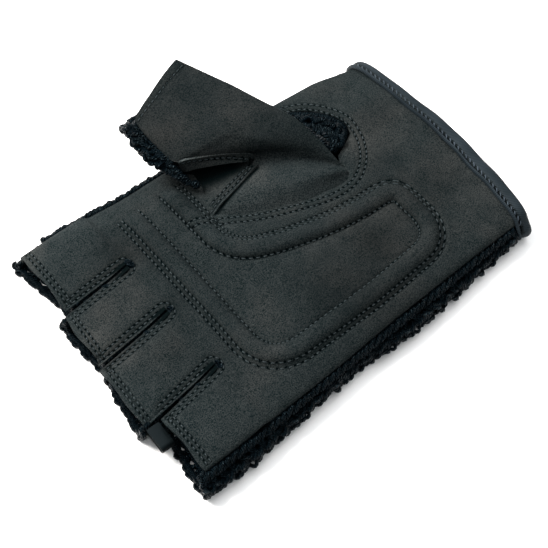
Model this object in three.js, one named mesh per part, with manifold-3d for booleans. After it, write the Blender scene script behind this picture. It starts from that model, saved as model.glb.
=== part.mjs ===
/**
 * Half-finger cycling glove for the right hand, lying palm up.
 *
 * A suede palm with the four finger fronts, a crocheted back, a thumb with a suede front and a
 * crocheted back, a leaf-shaped patch folded into the crotch of the thumb, a satin binding round
 * the wrist and a satin tab between the ring and the little finger.
 *
 * Millimetres. X runs from the finger ends (-) to the wrist (+), Y from the little finger (-) to
 * the thumb side (+), and the crocheted back lies on Z = 0.
 */
import * as THREE from 'three';
import { mergeVertices } from 'three/addons/utils/BufferGeometryUtils.js';
import Module from 'manifold-3d';

const wasm = await Module();
wasm.setup();

// Walls and seams
const SUEDE_WALL = 1.3;
const CROCHET_WALL = 2.6;
const CROCHET_FINGER_WALL = 2.0;
const CROCHET_WRIST_WALL = 1.5;
const SEAM_GAP = 0.35;

// Lengths along the glove
const CROTCH_X = -39;
const WRIST_X = 79.3;
const WRIST_BOW = 3.2;
const WRIST_MIDDLE_Y = 2;
const WRIST_HALF_WIDTH = 46;
const ROOT_BLEND = 13;

// How square the sections are: 2 is an ellipse, more is squarer
const FINGER_POWER = 3.2;
const PALM_POWER = 3;
const SLIT_ROOT_SEAM = 12;
const FLOOR_INSET = 6;

// Binding round the wrist
const BINDING_WALL = 0.9;
const BINDING_WIDTH = 6.9;
const BINDING_SLOT = 3.4;
const BINDING_CLEARANCE = 0.55;

// Padded roll sewn into the palm
const ROLL_HALF_WIDTH = 3.7;
const ROLL_RISE = 1.7;
const ROLL_ROOT = 0.6;
const ROLL_SEAT = 1.0;

// Steps of the surfaces
const FINGER_ROWS = 7;
const PALM_ROWS = 20;
const FINGER_CELLS = 6;
const WALL_CELLS = 3;
const FLOOR_CELLS = 2;

const { lerp, clamp, smoothstep } = THREE.MathUtils;

// A table of stations: its first column is the place, the others are read between the rows by a smooth curve
function stations(names, rows) {
  return (name, place) => {
    const column = names.indexOf(name);
    const last = rows.length - 1;
    let k = 0;
    while (k < last - 1 && place > rows[k + 1][0]) k += 1;
    const slope = (m) => {
      const a = rows[Math.max(m - 1, 0)];
      const b = rows[Math.min(m + 1, last)];
      return (b[column] - a[column]) / (b[0] - a[0]);
    };
    const step = rows[k + 1][0] - rows[k][0];
    const t = clamp((place - rows[k][0]) / step, 0, 1);
    const rise = t * t * (3 - 2 * t);
    return rows[k][column] * (1 - rise) + rows[k + 1][column] * rise
      + step * (slope(k) * t * (1 - t) ** 2 - slope(k + 1) * t * t * (1 - t));
  };
}

// Edges of the suede and heights of the palm along X
const palm = stations(
  ['x', 'low', 'high', 'crown', 'lowSeam', 'highSeam'],
  [
    [-70, -44.6, 61.2, 12.2, 10.2, 4.4],
    [-55, -44.4, 61.0, 12.8, 10.3, 4.4],
    [-39, -43.9, 59.6, 13.6, 10.4, 4.6],
    [-25, -43.4, 57.9, 14.8, 10.6, 4.8],
    [-8, -42.8, 57.2, 15.7, 10.8, 5.0],
    [20, -41.0, 56.6, 16.0, 10.8, 5.0],
    [45, -39.8, 55.5, 15.7, 10.4, 5.2],
    [62, -39.0, 53.6, 14.6, 9.8, 6.0],
    [83, -38.3, 49.0, 12.6, 8.8, 7.4],
  ],
);

// Widest lines of the crocheted back along X, and how far it is lifted off the surface
const back = stations(
  ['x', 'low', 'high', 'lift'],
  [
    [-72, -48.9, 60.4, 0],
    [-60, -49.6, 62.2, 0],
    [-46, -49.2, 62.6, 0],
    [-30, -47.4, 61.2, 0],
    [-16, -45.9, 59.9, 0],
    [4, -44.8, 58.7, 0],
    [24, -45.4, 57.8, 0],
    [44, -44.2, 56.6, 0],
    [62, -42.0, 54.6, 0],
    [83, -41.2, 50.2, 2.2],
  ],
);

// Fingers from the little one to the index. tip: edges in Y at the finger end, root: at the crotch,
// end: X of the suede's end, crown and seam: heights at the end, reach: how far the crochet ends past it
const FINGERS = [
  { name: 'little', tip: [-44.5, -20.3], root: [-43.9, -17.3], end: [-64.6, -64.3], crown: 12.0, seam: [10.2, 9.8], reach: [3.2, -0.6] },
  { name: 'ring', tip: [-19.7, 7.3], root: [-16.7, 9.0], end: [-70.6, -69.2], crown: 10.8, seam: [8.8, 8.7], reach: [1.2, -1.8] },
  { name: 'middle', tip: [8.4, 31.3], root: [9.9, 31.8], end: [-68.3, -66.4], crown: 10.3, seam: [8.4, 8.4], reach: [-2.0, 1.2] },
  { name: 'index', tip: [32.3, 61.2], root: [32.6, 59.6], end: [-64.6, -64.2], crown: 10.8, seam: [9.0, 4.4], reach: [-2.8, 2.0] },
];
const LAST_FINGER = FINGERS.length - 1;
const FLUSH = [0, 0];

// One arch from edge to edge, q = 0 to 1: s is the place across (-1 to 1), rise the height (0 to 1)
function arch(q, power) {
  const angle = Math.PI * (1 - q);
  const c = Math.cos(angle);
  return {
    s: Math.sign(c) * Math.abs(c) ** (2 / power),
    rise: Math.abs(Math.sin(angle)) ** (2 / power),
  };
}

// X of the wrist edge at a place across the glove
function wristEdge(y) {
  return WRIST_X - WRIST_BOW * ((y - WRIST_MIDDLE_Y) / WRIST_HALF_WIDTH) ** 2;
}

// Height of the palm's outer surface over a point behind the fingers
function palmTop(x, y) {
  const low = palm('low', x);
  const high = palm('high', x);
  const f = clamp((y - low) / (high - low), 0, 1);
  const seam = lerp(palm('lowSeam', x), palm('highSeam', x), f);
  const rise = Math.max(1 - Math.abs(2 * f - 1) ** PALM_POWER, 0) ** (1 / PALM_POWER);
  return seam + (palm('crown', x) - seam) * rise;
}

// Share of the way from the crotch to the wrist edge; the last row only runs on straight into the binding
function beyondCrotch(row) {
  return clamp((row - FINGER_ROWS) / (PALM_ROWS - 1), 0, 1);
}

// Edges, seam heights and place along the glove of a finger in one row of a surface
function fingerRow(finger, row, reach) {
  const index = FINGERS.indexOf(finger);
  const along = Math.min(row / FINGER_ROWS, 1);
  const beyond = beyondCrotch(row);
  const middleX = row < FINGER_ROWS
    ? lerp((finger.end[0] + finger.end[1] - reach[0] - reach[1]) / 2, CROTCH_X, along)
    : lerp(CROTCH_X, WRIST_X, beyond);
  const edges = [0, 1].map((side) => lerp(finger.tip[side], finger.root[side], along));
  const seams = [0, 1].map((side) => lerp(finger.seam[side], SLIT_ROOT_SEAM, along));
  if (index === 0) {
    edges[0] = palm('low', middleX);
    seams[0] = palm('lowSeam', middleX);
  }
  if (index === LAST_FINGER) {
    edges[1] = palm('high', middleX);
    seams[1] = palm('highSeam', middleX);
  }
  const blend = smoothstep((middleX - CROTCH_X) / ROOT_BLEND, 0, 1);
  return { index, along, middleX, edges, seams, blend };
}

// X of a point in a row: finger rows run from the finger end to the crotch, palm rows on to the wrist
function placeAlong(finger, row, q, y, reach) {
  if (row === FINGER_ROWS + PALM_ROWS) return wristEdge(y) + BINDING_SLOT - SEAM_GAP;
  const end = lerp(finger.end[0] - reach[0], finger.end[1] - reach[1], q);
  const along = Math.min(row / FINGER_ROWS, 1);
  return row < FINGER_ROWS ? lerp(end, CROTCH_X, along) : lerp(CROTCH_X, wristEdge(y) - SEAM_GAP, beyondCrotch(row));
}

// Outer surface of the suede palm at a row, in a finger's strip, q = 0 to 1 across the strip
function suedePoint(row, finger, q) {
  const { along, middleX, edges, seams, blend } = fingerRow(finger, row, FLUSH);
  const { s, rise } = arch(q, FINGER_POWER);
  const across = (1 + s) / 2;
  const lobeY = lerp(edges[0], edges[1], across);
  const lobeSeam = lerp(seams[0], seams[1], across);
  const lobeCrown = lerp(finger.crown, palm('crown', CROTCH_X), along);
  const lobeZ = lobeSeam + (lobeCrown - lobeSeam) * rise;

  const rootY = lerp(finger.root[0], finger.root[1], across);
  const share = (rootY - FINGERS[0].root[0]) / (FINGERS[LAST_FINGER].root[1] - FINGERS[0].root[0]);
  const palmY = lerp(palm('low', middleX), palm('high', middleX), share);
  const palmZ = palmTop(middleX, palmY);

  const y = lerp(lobeY, palmY, blend);
  return new THREE.Vector3(placeAlong(finger, row, q, y, FLUSH), y, lerp(lobeZ, palmZ, blend));
}

// Outer surface of the crocheted back: each finger has a low wall, a floor and a high wall
const BACK_CELLS = 2 * WALL_CELLS + FLOOR_CELLS;
const BACK_COLUMNS = FINGERS.length * (BACK_CELLS + 1) - 1;
function crochetPoint(row, finger, cell) {
  const { index, middleX, edges, seams, blend } = fingerRow(finger, row, finger.reach);
  const lift = Math.max(back('lift', middleX), 0);
  const side = cell < BACK_CELLS / 2 ? 0 : 1;
  const inward = side === 0 ? 1 : -1;
  const onWall = side === 0 ? cell / WALL_CELLS : (BACK_CELLS - cell) / WALL_CELLS;
  const rim = edges[side];
  const outer = (index === 0 && side === 0) || (index === LAST_FINGER && side === 1);
  const floorY = [0, 1].map((k) => edges[k] + (k === 0 ? FLOOR_INSET : -FLOOR_INSET));
  const rimZ = seams[side] - SEAM_GAP;

  // The wall is a cubic curve from the rim down to the floor, through the widest line
  let wide = rim;
  if (outer) wide = (8 * back(side === 0 ? 'low' : 'high', middleX) - rim - (rim + inward * FLOOR_INSET)) / 6;
  const t = Math.min(onWall, 1);
  const u = 1 - t;
  let y = u ** 3 * rim + 3 * t * u * wide + t ** 3 * (rim + inward * FLOOR_INSET);
  let z = u ** 3 * rimZ + 3 * t * u * u * 0.62 * rimZ;
  if (onWall > 1) y = lerp(floorY[0], floorY[1], (cell - WALL_CELLS) / FLOOR_CELLS);
  z = Math.max(z, 0) * (1 - lift / Math.max(rimZ, 1)) + lift;

  // Behind the fingers only the two outer walls stay, and the rest lies flat
  const column = index * (BACK_CELLS + 1) + cell;
  const onOuterWall = outer && onWall <= 1;
  if (!onOuterWall) {
    const flatLow = palm('low', middleX) + FLOOR_INSET;
    const flatHigh = palm('high', middleX) - FLOOR_INSET;
    const share = (column - WALL_CELLS) / (BACK_COLUMNS - 2 * WALL_CELLS);
    y = lerp(y, lerp(flatLow, flatHigh, share), blend);
    z = lerp(z, lift, blend);
  }
  const q = clamp((y - edges[0]) / (edges[1] - edges[0]), 0, 1);
  return new THREE.Vector3(placeAlong(finger, row, q, y, finger.reach), y, z);
}

/**
 * A closed wall from a grid of points on its outer face. The inner face lies one wall below,
 * along the grid's normals, or along a given direction at the free edges. Cells that open()
 * names are left out, with their rims closed.
 */
function wallFrom(points, wall, { open = () => false, edgeNormal = () => null } = {}) {
  const rows = points.length;
  const columns = points[0].length;
  const at = (i, j) => points[clamp(i, 0, rows - 1)][clamp(j, 0, columns - 1)];
  const inner = points.map((line, i) => line.map((p, j) => {
    const given = edgeNormal(i, j);
    const alongRow = at(i + 1, j).clone().sub(at(i - 1, j));
    const acrossRow = at(i, j + 1).clone().sub(at(i, j - 1));
    const normal = given ?? alongRow.cross(acrossRow).normalize();
    return p.clone().addScaledVector(normal, -(typeof wall === 'function' ? wall(i, j) : wall));
  }));
  const kept = (i, j) => i >= 0 && j >= 0 && i < rows - 1 && j < columns - 1 && !open(i, j);
  const corners = [];
  const quad = (a, b, c, d) => corners.push(a, b, c, a, c, d);
  for (let i = 0; i < rows - 1; i += 1) {
    for (let j = 0; j < columns - 1; j += 1) {
      if (!kept(i, j)) continue;
      quad(points[i][j], points[i + 1][j], points[i + 1][j + 1], points[i][j + 1]);
      quad(inner[i][j], inner[i][j + 1], inner[i + 1][j + 1], inner[i + 1][j]);
      const rim = (a, b, c, d) => quad(points[a][b], points[c][d], inner[c][d], inner[a][b]);
      if (!kept(i, j - 1)) rim(i + 1, j, i, j);
      if (!kept(i, j + 1)) rim(i, j + 1, i + 1, j + 1);
      if (!kept(i - 1, j)) rim(i, j, i, j + 1);
      if (!kept(i + 1, j)) rim(i + 1, j + 1, i + 1, j);
    }
  }
  return new THREE.BufferGeometry().setFromPoints(corners);
}

// A band carried round a closed list of sections, each a closed list of points
function ringFrom(sections) {
  const corners = [];
  const count = sections.length;
  const size = sections[0].length;
  for (let i = 0; i < count; i += 1) {
    const here = sections[i];
    const next = sections[(i + 1) % count];
    for (let j = 0; j < size; j += 1) {
      const k = (j + 1) % size;
      corners.push(here[j], next[j], next[k], here[j], next[k], here[k]);
    }
  }
  return new THREE.BufferGeometry().setFromPoints(corners);
}

// A bar carried along an open list of sections, with flat ends
function barFrom(sections) {
  const corners = [];
  const size = sections[0].length;
  for (let i = 0; i < sections.length - 1; i += 1) {
    for (let j = 0; j < size; j += 1) {
      const k = (j + 1) % size;
      const [here, next] = [sections[i], sections[i + 1]];
      corners.push(here[j], next[j], next[k], here[j], next[k], here[k]);
    }
  }
  const first = sections[0];
  const last = sections[sections.length - 1];
  for (let j = 1; j < size - 1; j += 1) {
    corners.push(first[0], first[j], first[j + 1], last[0], last[j + 1], last[j]);
  }
  return new THREE.BufferGeometry().setFromPoints(corners);
}

function solidOf(geometry) {
  const bare = geometry.clone();
  bare.deleteAttribute('normal');
  bare.deleteAttribute('uv');
  const merged = mergeVertices(bare, 1e-4);
  return new wasm.Manifold(new wasm.Mesh({
    numProp: 3,
    vertProperties: new Float32Array(merged.attributes.position.array),
    triVerts: new Uint32Array(merged.index.array),
  }));
}

// The cut or joined solid as a geometry, without the slivers that a cut can leave
const SLIVER = 2e-3;
function geometryOf(solid) {
  const mesh = solid.getMesh();
  const geometry = new THREE.BufferGeometry();
  geometry.setAttribute('position', new THREE.BufferAttribute(mesh.vertProperties, 3));
  geometry.setIndex(new THREE.BufferAttribute(mesh.triVerts, 1));
  const merged = mergeVertices(geometry, SLIVER);
  const kept = [];
  for (let t = 0; t < merged.index.count; t += 3) {
    const [a, b, c] = [0, 1, 2].map((k) => merged.index.getX(t + k));
    if (a !== b && b !== c && c !== a) kept.push(a, b, c);
  }
  merged.setIndex(kept);
  return merged;
}

// Opening of the palm for the thumb, from its sharp corner along the thenar seam and back by the patch
const THUMB_OPENING = [
  [-4.6, 29.2], [2, 24.6], [9, 20.2], [19, 15.8], [29, 12.0], [37, 10.3], [41.6, 10.3], [43.4, 12.9],
  [43.9, 17.4], [45.5, 20.2], [50, 22.1], [55.4, 25.2], [57.2, 30], [55.6, 36.2], [50.6, 42.9],
  [45.5, 46.8], [40, 48.0], [32, 46.4], [26, 42], [22.4, 36.6], [16, 33.2], [8, 30.8], [0, 29.6],
];

// Middle of the padded roll, from the thumb side round the palm and back, as lines with round corners
function rollPath() {
  const path = new THREE.Path();
  path.moveTo(-26, 48.5);
  path.lineTo(-26, -15);
  path.quadraticCurveTo(-26, -30.2, -11, -30.3);
  path.lineTo(18, -30.1);
  path.lineTo(42, -28.2);
  path.quadraticCurveTo(52.4, -26.8, 52.3, -16);
  path.lineTo(52, -7);
  path.quadraticCurveTo(51.8, -2.4, 45, -2.4);
  path.bezierCurveTo(30, -2.2, 14, 1.6, 2, 6.6);
  path.quadraticCurveTo(-9.4, 11.4, -9.9, 22);
  path.lineTo(-9.9, 48.5);
  return path;
}

const ROLL_STEPS = 46;
const ROLL_SIDES = [-1, -0.62, 0, 0.62, 1];
function paddedRoll() {
  const path = rollPath();
  const sections = [];
  for (let i = 0; i <= ROLL_STEPS; i += 1) {
    const place = path.getPointAt(i / ROLL_STEPS);
    const heading = path.getTangentAt(i / ROLL_STEPS);
    const ends = smoothstep(Math.min(i, ROLL_STEPS - i), -1, 2);
    const surface = (side, above) => {
      const x = place.x - heading.y * side * ROLL_HALF_WIDTH;
      const y = place.y + heading.x * side * ROLL_HALF_WIDTH;
      return new THREE.Vector3(x, y, palmTop(x, y) + above);
    };
    const tops = ROLL_SIDES.map((side) => surface(side, (ROLL_RISE + ROLL_ROOT) * ends * Math.sqrt(1 - side * side) - ROLL_ROOT));
    sections.push([...tops, surface(1, -ROLL_SEAT), surface(0, -ROLL_SEAT), surface(-1, -ROLL_SEAT)]);
  }
  return barFrom(sections);
}

// Suede palm: one wall over the palm and the four finger fronts, with the slits and the thumb opening
function palmPanel() {
  const points = [];
  for (let row = 0; row <= FINGER_ROWS + PALM_ROWS; row += 1) {
    const line = [];
    FINGERS.forEach((finger) => {
      for (let cell = 0; cell <= FINGER_CELLS; cell += 1) line.push(suedePoint(row, finger, cell / FINGER_CELLS));
    });
    points.push(line);
  }
  const strip = FINGER_CELLS + 1;
  const slit = (i, j) => i < FINGER_ROWS && j % strip === FINGER_CELLS;
  const edgeNormal = (i, j) => {
    const cell = j % strip;
    const onSide = j === 0 || j === FINGERS.length * strip - 1;
    if (!onSide && i > FINGER_ROWS) return null;
    if (cell === 0) return new THREE.Vector3(0, -1, 0);
    return cell === FINGER_CELLS ? new THREE.Vector3(0, 1, 0) : null;
  };
  const wall = solidOf(wallFrom(points, SUEDE_WALL, { open: slit, edgeNormal }));
  const outline = new THREE.Shape(THUMB_OPENING.map(([x, y]) => new THREE.Vector2(x, y)));
  const cutter = new THREE.ExtrudeGeometry(outline, { depth: 14, bevelEnabled: false });
  cutter.translate(0, 0, 8);
  return geometryOf(wall.add(solidOf(paddedRoll())).subtract(solidOf(cutter)));
}

// Crocheted back: one thick wall under the palm and fingers, with the gaps of the net cut through
function crochetBack() {
  const points = [];
  for (let row = 0; row <= FINGER_ROWS + PALM_ROWS; row += 1) {
    const line = [];
    FINGERS.forEach((finger) => {
      for (let cell = 0; cell <= BACK_CELLS; cell += 1) line.push(crochetPoint(row, finger, cell));
    });
    points.push(line.reverse());
  }
  const strip = BACK_CELLS + 1;
  const lastColumn = FINGERS.length * strip - 2;
  const open = (i, flipped) => {
    const j = lastColumn - flipped;
    const cell = j % strip;
    if (i < FINGER_ROWS && cell === BACK_CELLS) return true;
    return netGap(i, j, cell);
  };
  const edgeNormal = (i, flipped) => {
    const j = lastColumn + 1 - flipped;
    const cell = j % strip;
    const onSide = j === 0 || j === lastColumn + 1;
    if (!onSide && i > FINGER_ROWS) return null;
    if (cell === 0) return new THREE.Vector3(0, -1, 0);
    return cell === BACK_CELLS ? new THREE.Vector3(0, 1, 0) : null;
  };
  const wall = (i) => {
    if (i <= FINGER_ROWS) return CROCHET_FINGER_WALL;
    const toWrist = smoothstep(i, FINGER_ROWS + PALM_ROWS - 5, FINGER_ROWS + PALM_ROWS - 1);
    const fromFingers = smoothstep(i, FINGER_ROWS, FINGER_ROWS + 3);
    return lerp(lerp(CROCHET_FINGER_WALL, CROCHET_WALL, fromFingers), CROCHET_WRIST_WALL, toWrist);
  };
  return wallFrom(points, wall, { open, edgeNormal });
}

// Which cells of the back are gaps of the net: staggered on the flat, spaced along the little-finger side
function netGap(i, j, cell) {
  const lastRow = FINGER_ROWS + PALM_ROWS - 3;
  if (i < 1 || i > lastRow) return false;
  if (j === 1) return i % 3 === 1;
  if (i < FINGER_ROWS - 1) return (cell === WALL_CELLS && i % 4 === 1) || (cell === WALL_CELLS + 1 && i % 4 === 3);
  if (i < FINGER_ROWS + 2 || j <= WALL_CELLS || j >= BACK_COLUMNS - WALL_CELLS - 1) return false;
  return j % 3 === 1 && (i + Math.floor(j / 3)) % 2 === 0;
}

// Satin binding: a folded band with a slot for the wrist edges of the palm and the back
function cuffBinding() {
  const lastRow = FINGER_ROWS + PALM_ROWS;
  const stops = [];
  const addStop = (p, wall, normal) => stops.push({ p, wall, normal });
  const between = (a, b) => new THREE.Vector3(0, b.y - a.y, b.z - a.z);
  const facing = (before, after) => {
    const run = between(before, after).normalize();
    return new THREE.Vector3(0, -run.z, run.y);
  };
  const top = [];
  FINGERS.forEach((finger) => {
    for (let cell = 0; cell <= FINGER_CELLS; cell += 1) top.push(suedePoint(lastRow, finger, cell / FINGER_CELLS));
  });
  const bottom = [];
  FINGERS.forEach((finger) => {
    for (let cell = 0; cell <= BACK_CELLS; cell += 1) bottom.push(crochetPoint(lastRow, finger, cell));
  });
  const every = (line, step, dense) => line.map((p, k) => k)
    .filter((k) => k <= dense || k >= line.length - 1 - dense || k % step === 0);
  every(top, 1, 4).forEach((k) => {
    const normal = facing(top[Math.max(k - 1, 0)], top[Math.min(k + 1, top.length - 1)]);
    const flat = k === 0 ? new THREE.Vector3(0, -1, 0) : new THREE.Vector3(0, 1, 0);
    addStop(top[k], SUEDE_WALL, k === 0 || k === top.length - 1 ? flat : normal);
  });
  every(bottom, 2, 6).reverse().forEach((k) => {
    const normal = facing(bottom[Math.min(k + 1, bottom.length - 1)], bottom[Math.max(k - 1, 0)]);
    const flat = k === 0 ? new THREE.Vector3(0, -1, 0) : new THREE.Vector3(0, 1, 0);
    addStop(bottom[k], CROCHET_WRIST_WALL, k === 0 || k === bottom.length - 1 ? flat : normal);
  });
  const sections = stops.map(({ p, wall, normal }) => {
    const start = wristEdge(p.y);
    const slotHalf = wall / 2 + BINDING_CLEARANCE;
    const outerHalf = slotHalf + BINDING_WALL;
    const middle = new THREE.Vector3(0, p.y, p.z).addScaledVector(normal, -wall / 2);
    const spot = (along, out) => new THREE.Vector3(start + along, middle.y, middle.z).addScaledVector(normal, out);
    const round = outerHalf * 0.9;
    return [
      spot(0, outerHalf), spot(BINDING_WIDTH - round, outerHalf), spot(BINDING_WIDTH - 0.3 * round, 0.7 * outerHalf),
      spot(BINDING_WIDTH, 0), spot(BINDING_WIDTH - 0.3 * round, -0.7 * outerHalf),
      spot(BINDING_WIDTH - round, -outerHalf), spot(0, -outerHalf),
      spot(0, -slotHalf), spot(BINDING_SLOT, -slotHalf), spot(BINDING_SLOT, slotHalf), spot(0, slotHalf),
    ].reverse();
  });
  return ringFrom(sections);
}

// Suede front of the thumb, from the thenar seam (0) over the crease (4) to the open end (12).
// left and right are its edges, bow bends a row away from the open end, lift crowns it
const THUMB_STEPS = 12;
const THUMB_CELLS = 8;
const THUMB_POWER = 2.4;
const thumb = stations(
  ['step', 'leftX', 'leftY', 'leftZ', 'rightX', 'rightY', 'rightZ', 'bow', 'lift'],
  [
    [0, -3.2, 28.9, 15.2, 41.2, 11.8, 15.2, 4.2, 0.8],
    [1, 0.8, 29.0, 15.6, 41.9, 12.4, 15.6, 3.2, 2.0],
    [2, 8.0, 30.2, 15.9, 42.3, 13.2, 15.9, 2.0, 3.2],
    [3, 15.0, 32.2, 16.0, 42.6, 14.2, 15.8, 0.6, 2.8],
    [4, 20.6, 34.9, 16.0, 42.8, 15.6, 15.6, -1.2, 0.9],
    [5, 21.4, 37.7, 17.9, 42.9, 18.4, 17.6, -0.8, 1.6],
    [6, 17.5, 40.0, 19.5, 42.3, 23.0, 19.8, -0.3, 2.4],
    [7, 10.5, 43.2, 21.6, 41.2, 29.5, 22.2, 0, 3.0],
    [8, 2.2, 46.3, 23.8, 39.2, 37.9, 24.6, 0.3, 3.0],
    [9, -5.1, 49.3, 25.6, 34.8, 46.2, 27.2, 0.6, 2.8],
    [10, -6.6, 56.7, 27.4, 29.2, 58.2, 29.6, 0.3, 2.6],
    [11, -7.3, 63.2, 29.1, 23.8, 69.0, 31.5, -0.5, 2.4],
    [12, -7.2, 68.0, 30.6, 19.2, 78.2, 33.0, -1.2, 2.2],
  ],
);

function thumbEdge(side, step) {
  return new THREE.Vector3(thumb(`${side}X`, step), thumb(`${side}Y`, step), thumb(`${side}Z`, step));
}

function thumbPoint(step, q) {
  const left = thumbEdge('left', step);
  const right = thumbEdge('right', step);
  const { s, rise } = arch(q, THUMB_POWER);
  const run = right.clone().sub(left);
  const bow = thumb('bow', step) * (1 - s * s);
  const away = new THREE.Vector3(run.y, -run.x, 0).normalize();
  return left.addScaledVector(run, (1 + s) / 2).addScaledVector(away, bow)
    .add(new THREE.Vector3(0, 0, thumb('lift', step) * rise));
}

// Level direction across the thumb at a step, for the rims of its two walls
function acrossThumb(step) {
  const run = thumbEdge('right', step).sub(thumbEdge('left', step));
  return new THREE.Vector3(run.x, run.y, 0).normalize();
}

function thumbPanel() {
  const points = [];
  for (let step = 0; step <= THUMB_STEPS; step += 1) {
    const line = [];
    for (let cell = 0; cell <= THUMB_CELLS; cell += 1) line.push(thumbPoint(step, cell / THUMB_CELLS));
    points.push(line.reverse());
  }
  const edgeNormal = (i, j) => {
    if (j === 0) return acrossThumb(i);
    return j === THUMB_CELLS ? acrossThumb(i).negate() : null;
  };
  return wallFrom(points, SUEDE_WALL, { edgeNormal });
}

// Crocheted back of the thumb. Its foot runs inside the thumb opening, round the far side and the wrist
// side; its other rows hang between the two edges of the suede front. left is given only near the foot
const THUMB_FOOT = [
  [26.4, 40.0], [30.8, 43.0], [35.0, 45.0], [40.2, 46.2], [45.0, 45.8], [49.8, 42.3], [54.6, 36],
  [56.3, 30.2], [54.7, 26.0], [50.0, 23.2], [45.4, 21.6],
];
const THUMB_BACK_CELLS = THUMB_FOOT.length - 1;
const THUMB_BACK_WALL = 2.0;
const THUMB_BACK = [
  { share: 0, left: [26.4, 40.0, 15.2], rightStep: null, belly: 14.8, bulge: 0, onward: 0 },
  { share: 0.45, left: [16.8, 43.6, 17.2], rightStep: 6, belly: 16.4, bulge: 0, onward: 0 },
  { share: 0.75, left: [6.0, 49.0, 17.5], rightStep: 7, belly: 16.9, bulge: 0, onward: 0 },
  { share: 0.92, left: [-6.6, 52.2, 18.0], rightStep: 8, belly: 17.0, bulge: 3, onward: 0.6 },
  { share: 1, leftStep: 9, rightStep: 9, belly: 17.6, bulge: 9, onward: 3.6 },
  { share: 1, leftStep: 10, rightStep: 10, belly: 19.0, bulge: 10.5, onward: 2.4 },
  { share: 1, leftStep: 11, rightStep: 11, belly: 20.6, bulge: 9.5, onward: 2.2 },
  { share: 1, leftStep: 12, rightStep: 12, belly: 22.2, bulge: 9, onward: 2.6 },
];

function thumbBackPoint(row, cell) {
  const { share, left, leftStep, rightStep, belly, bulge, onward } = THUMB_BACK[row];
  const [footX, footY] = THUMB_FOOT[cell];
  const seat = lerp(0.4, -0.5, smoothstep(cell, 2, 5));
  const foot = new THREE.Vector3(footX, footY, palmTop(footX, footY) + seat);
  if (share === 0) return foot;
  const down = new THREE.Vector3(0, 0, -SEAM_GAP);
  const start = left ? new THREE.Vector3(...left) : thumbEdge('left', leftStep).add(down);
  const end = thumbEdge('right', rightStep).add(down);
  const { s, rise } = arch(cell / THUMB_BACK_CELLS, THUMB_POWER);
  const run = end.clone().sub(start);
  const point = start.clone().addScaledVector(run, (1 + s) / 2);
  point.z += (belly - point.z) * rise;
  const onLeft = smoothstep(-s, -0.3, 0.6);
  point.x -= bulge * rise * onLeft;
  point.y += onward * rise * lerp(0.4, 1, onLeft);
  const risen = 1 - (1 - share) ** 2;
  return new THREE.Vector3(lerp(foot.x, point.x, share), lerp(foot.y, point.y, share), lerp(foot.z, point.z, risen));
}

function thumbCrochet() {
  const points = THUMB_BACK.map((_, row) => THUMB_FOOT.map((__, cell) => thumbBackPoint(row, cell)));
  const edgeNormal = (i, j) => {
    const step = THUMB_BACK[i].rightStep ?? 5;
    if (i > 0 && j === THUMB_BACK_CELLS) return acrossThumb(step);
    if (j === 0 && i > 3) return acrossThumb(step).negate();
    return null;
  };
  const open = (i, j) => i > 0 && i < THUMB_BACK.length - 2 && j > 0 && j < THUMB_BACK_CELLS - 1
    && j % 2 === 1 && (i + (j - 1) / 2) % 2 === 0;
  return wallFrom(points, THUMB_BACK_WALL, { edgeNormal, open });
}

// Suede patch folded into the crotch of the thumb: a strip on the palm, a fold, and a wall up to the thumb
const PATCH_WALL = 1.2;
const PATCH_LIFT = 0.35;
const crotchPatch = stations(
  ['along', 'lowX', 'lowY', 'foldX', 'foldY', 'thumbStep'],
  [
    [0, -4.2, 30.0, -3.9, 48.8, 8.7],
    [0.25, 2.4, 31.0, 3.2, 46.6, 7.9],
    [0.5, 8.6, 32.0, 9.4, 43.9, 7.12],
    [0.75, 14.8, 34.2, 15.2, 41.1, 6.4],
    [1, 19.6, 36.6, 19.4, 38.7, 5.8],
  ],
);
const PATCH_ROWS = 8;
const PATCH_STRIP_CELLS = 4;
const PATCH_WALL_CELLS = 2;

function patchPoint(along, cell) {
  const low = new THREE.Vector2(crotchPatch('lowX', along), crotchPatch('lowY', along));
  const fold = new THREE.Vector2(crotchPatch('foldX', along), crotchPatch('foldY', along));
  const rest = (p) => new THREE.Vector3(p.x, p.y, palmTop(p.x, p.y) + PATCH_LIFT + PATCH_WALL);
  if (cell <= PATCH_STRIP_CELLS) return rest(low.lerp(fold, cell / PATCH_STRIP_CELLS));
  const top = thumbEdge('left', crotchPatch('thumbStep', along));
  top.z -= SEAM_GAP;
  const up = (cell - PATCH_STRIP_CELLS) / PATCH_WALL_CELLS;
  return rest(fold).lerp(top, up);
}

function patchPanel() {
  const points = [];
  for (let row = 0; row <= PATCH_ROWS; row += 1) {
    const line = [];
    for (let cell = 0; cell <= PATCH_STRIP_CELLS + PATCH_WALL_CELLS; cell += 1) line.push(patchPoint(row / PATCH_ROWS, cell));
    points.push(line);
  }
  return wallFrom(points, PATCH_WALL);
}

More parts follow.
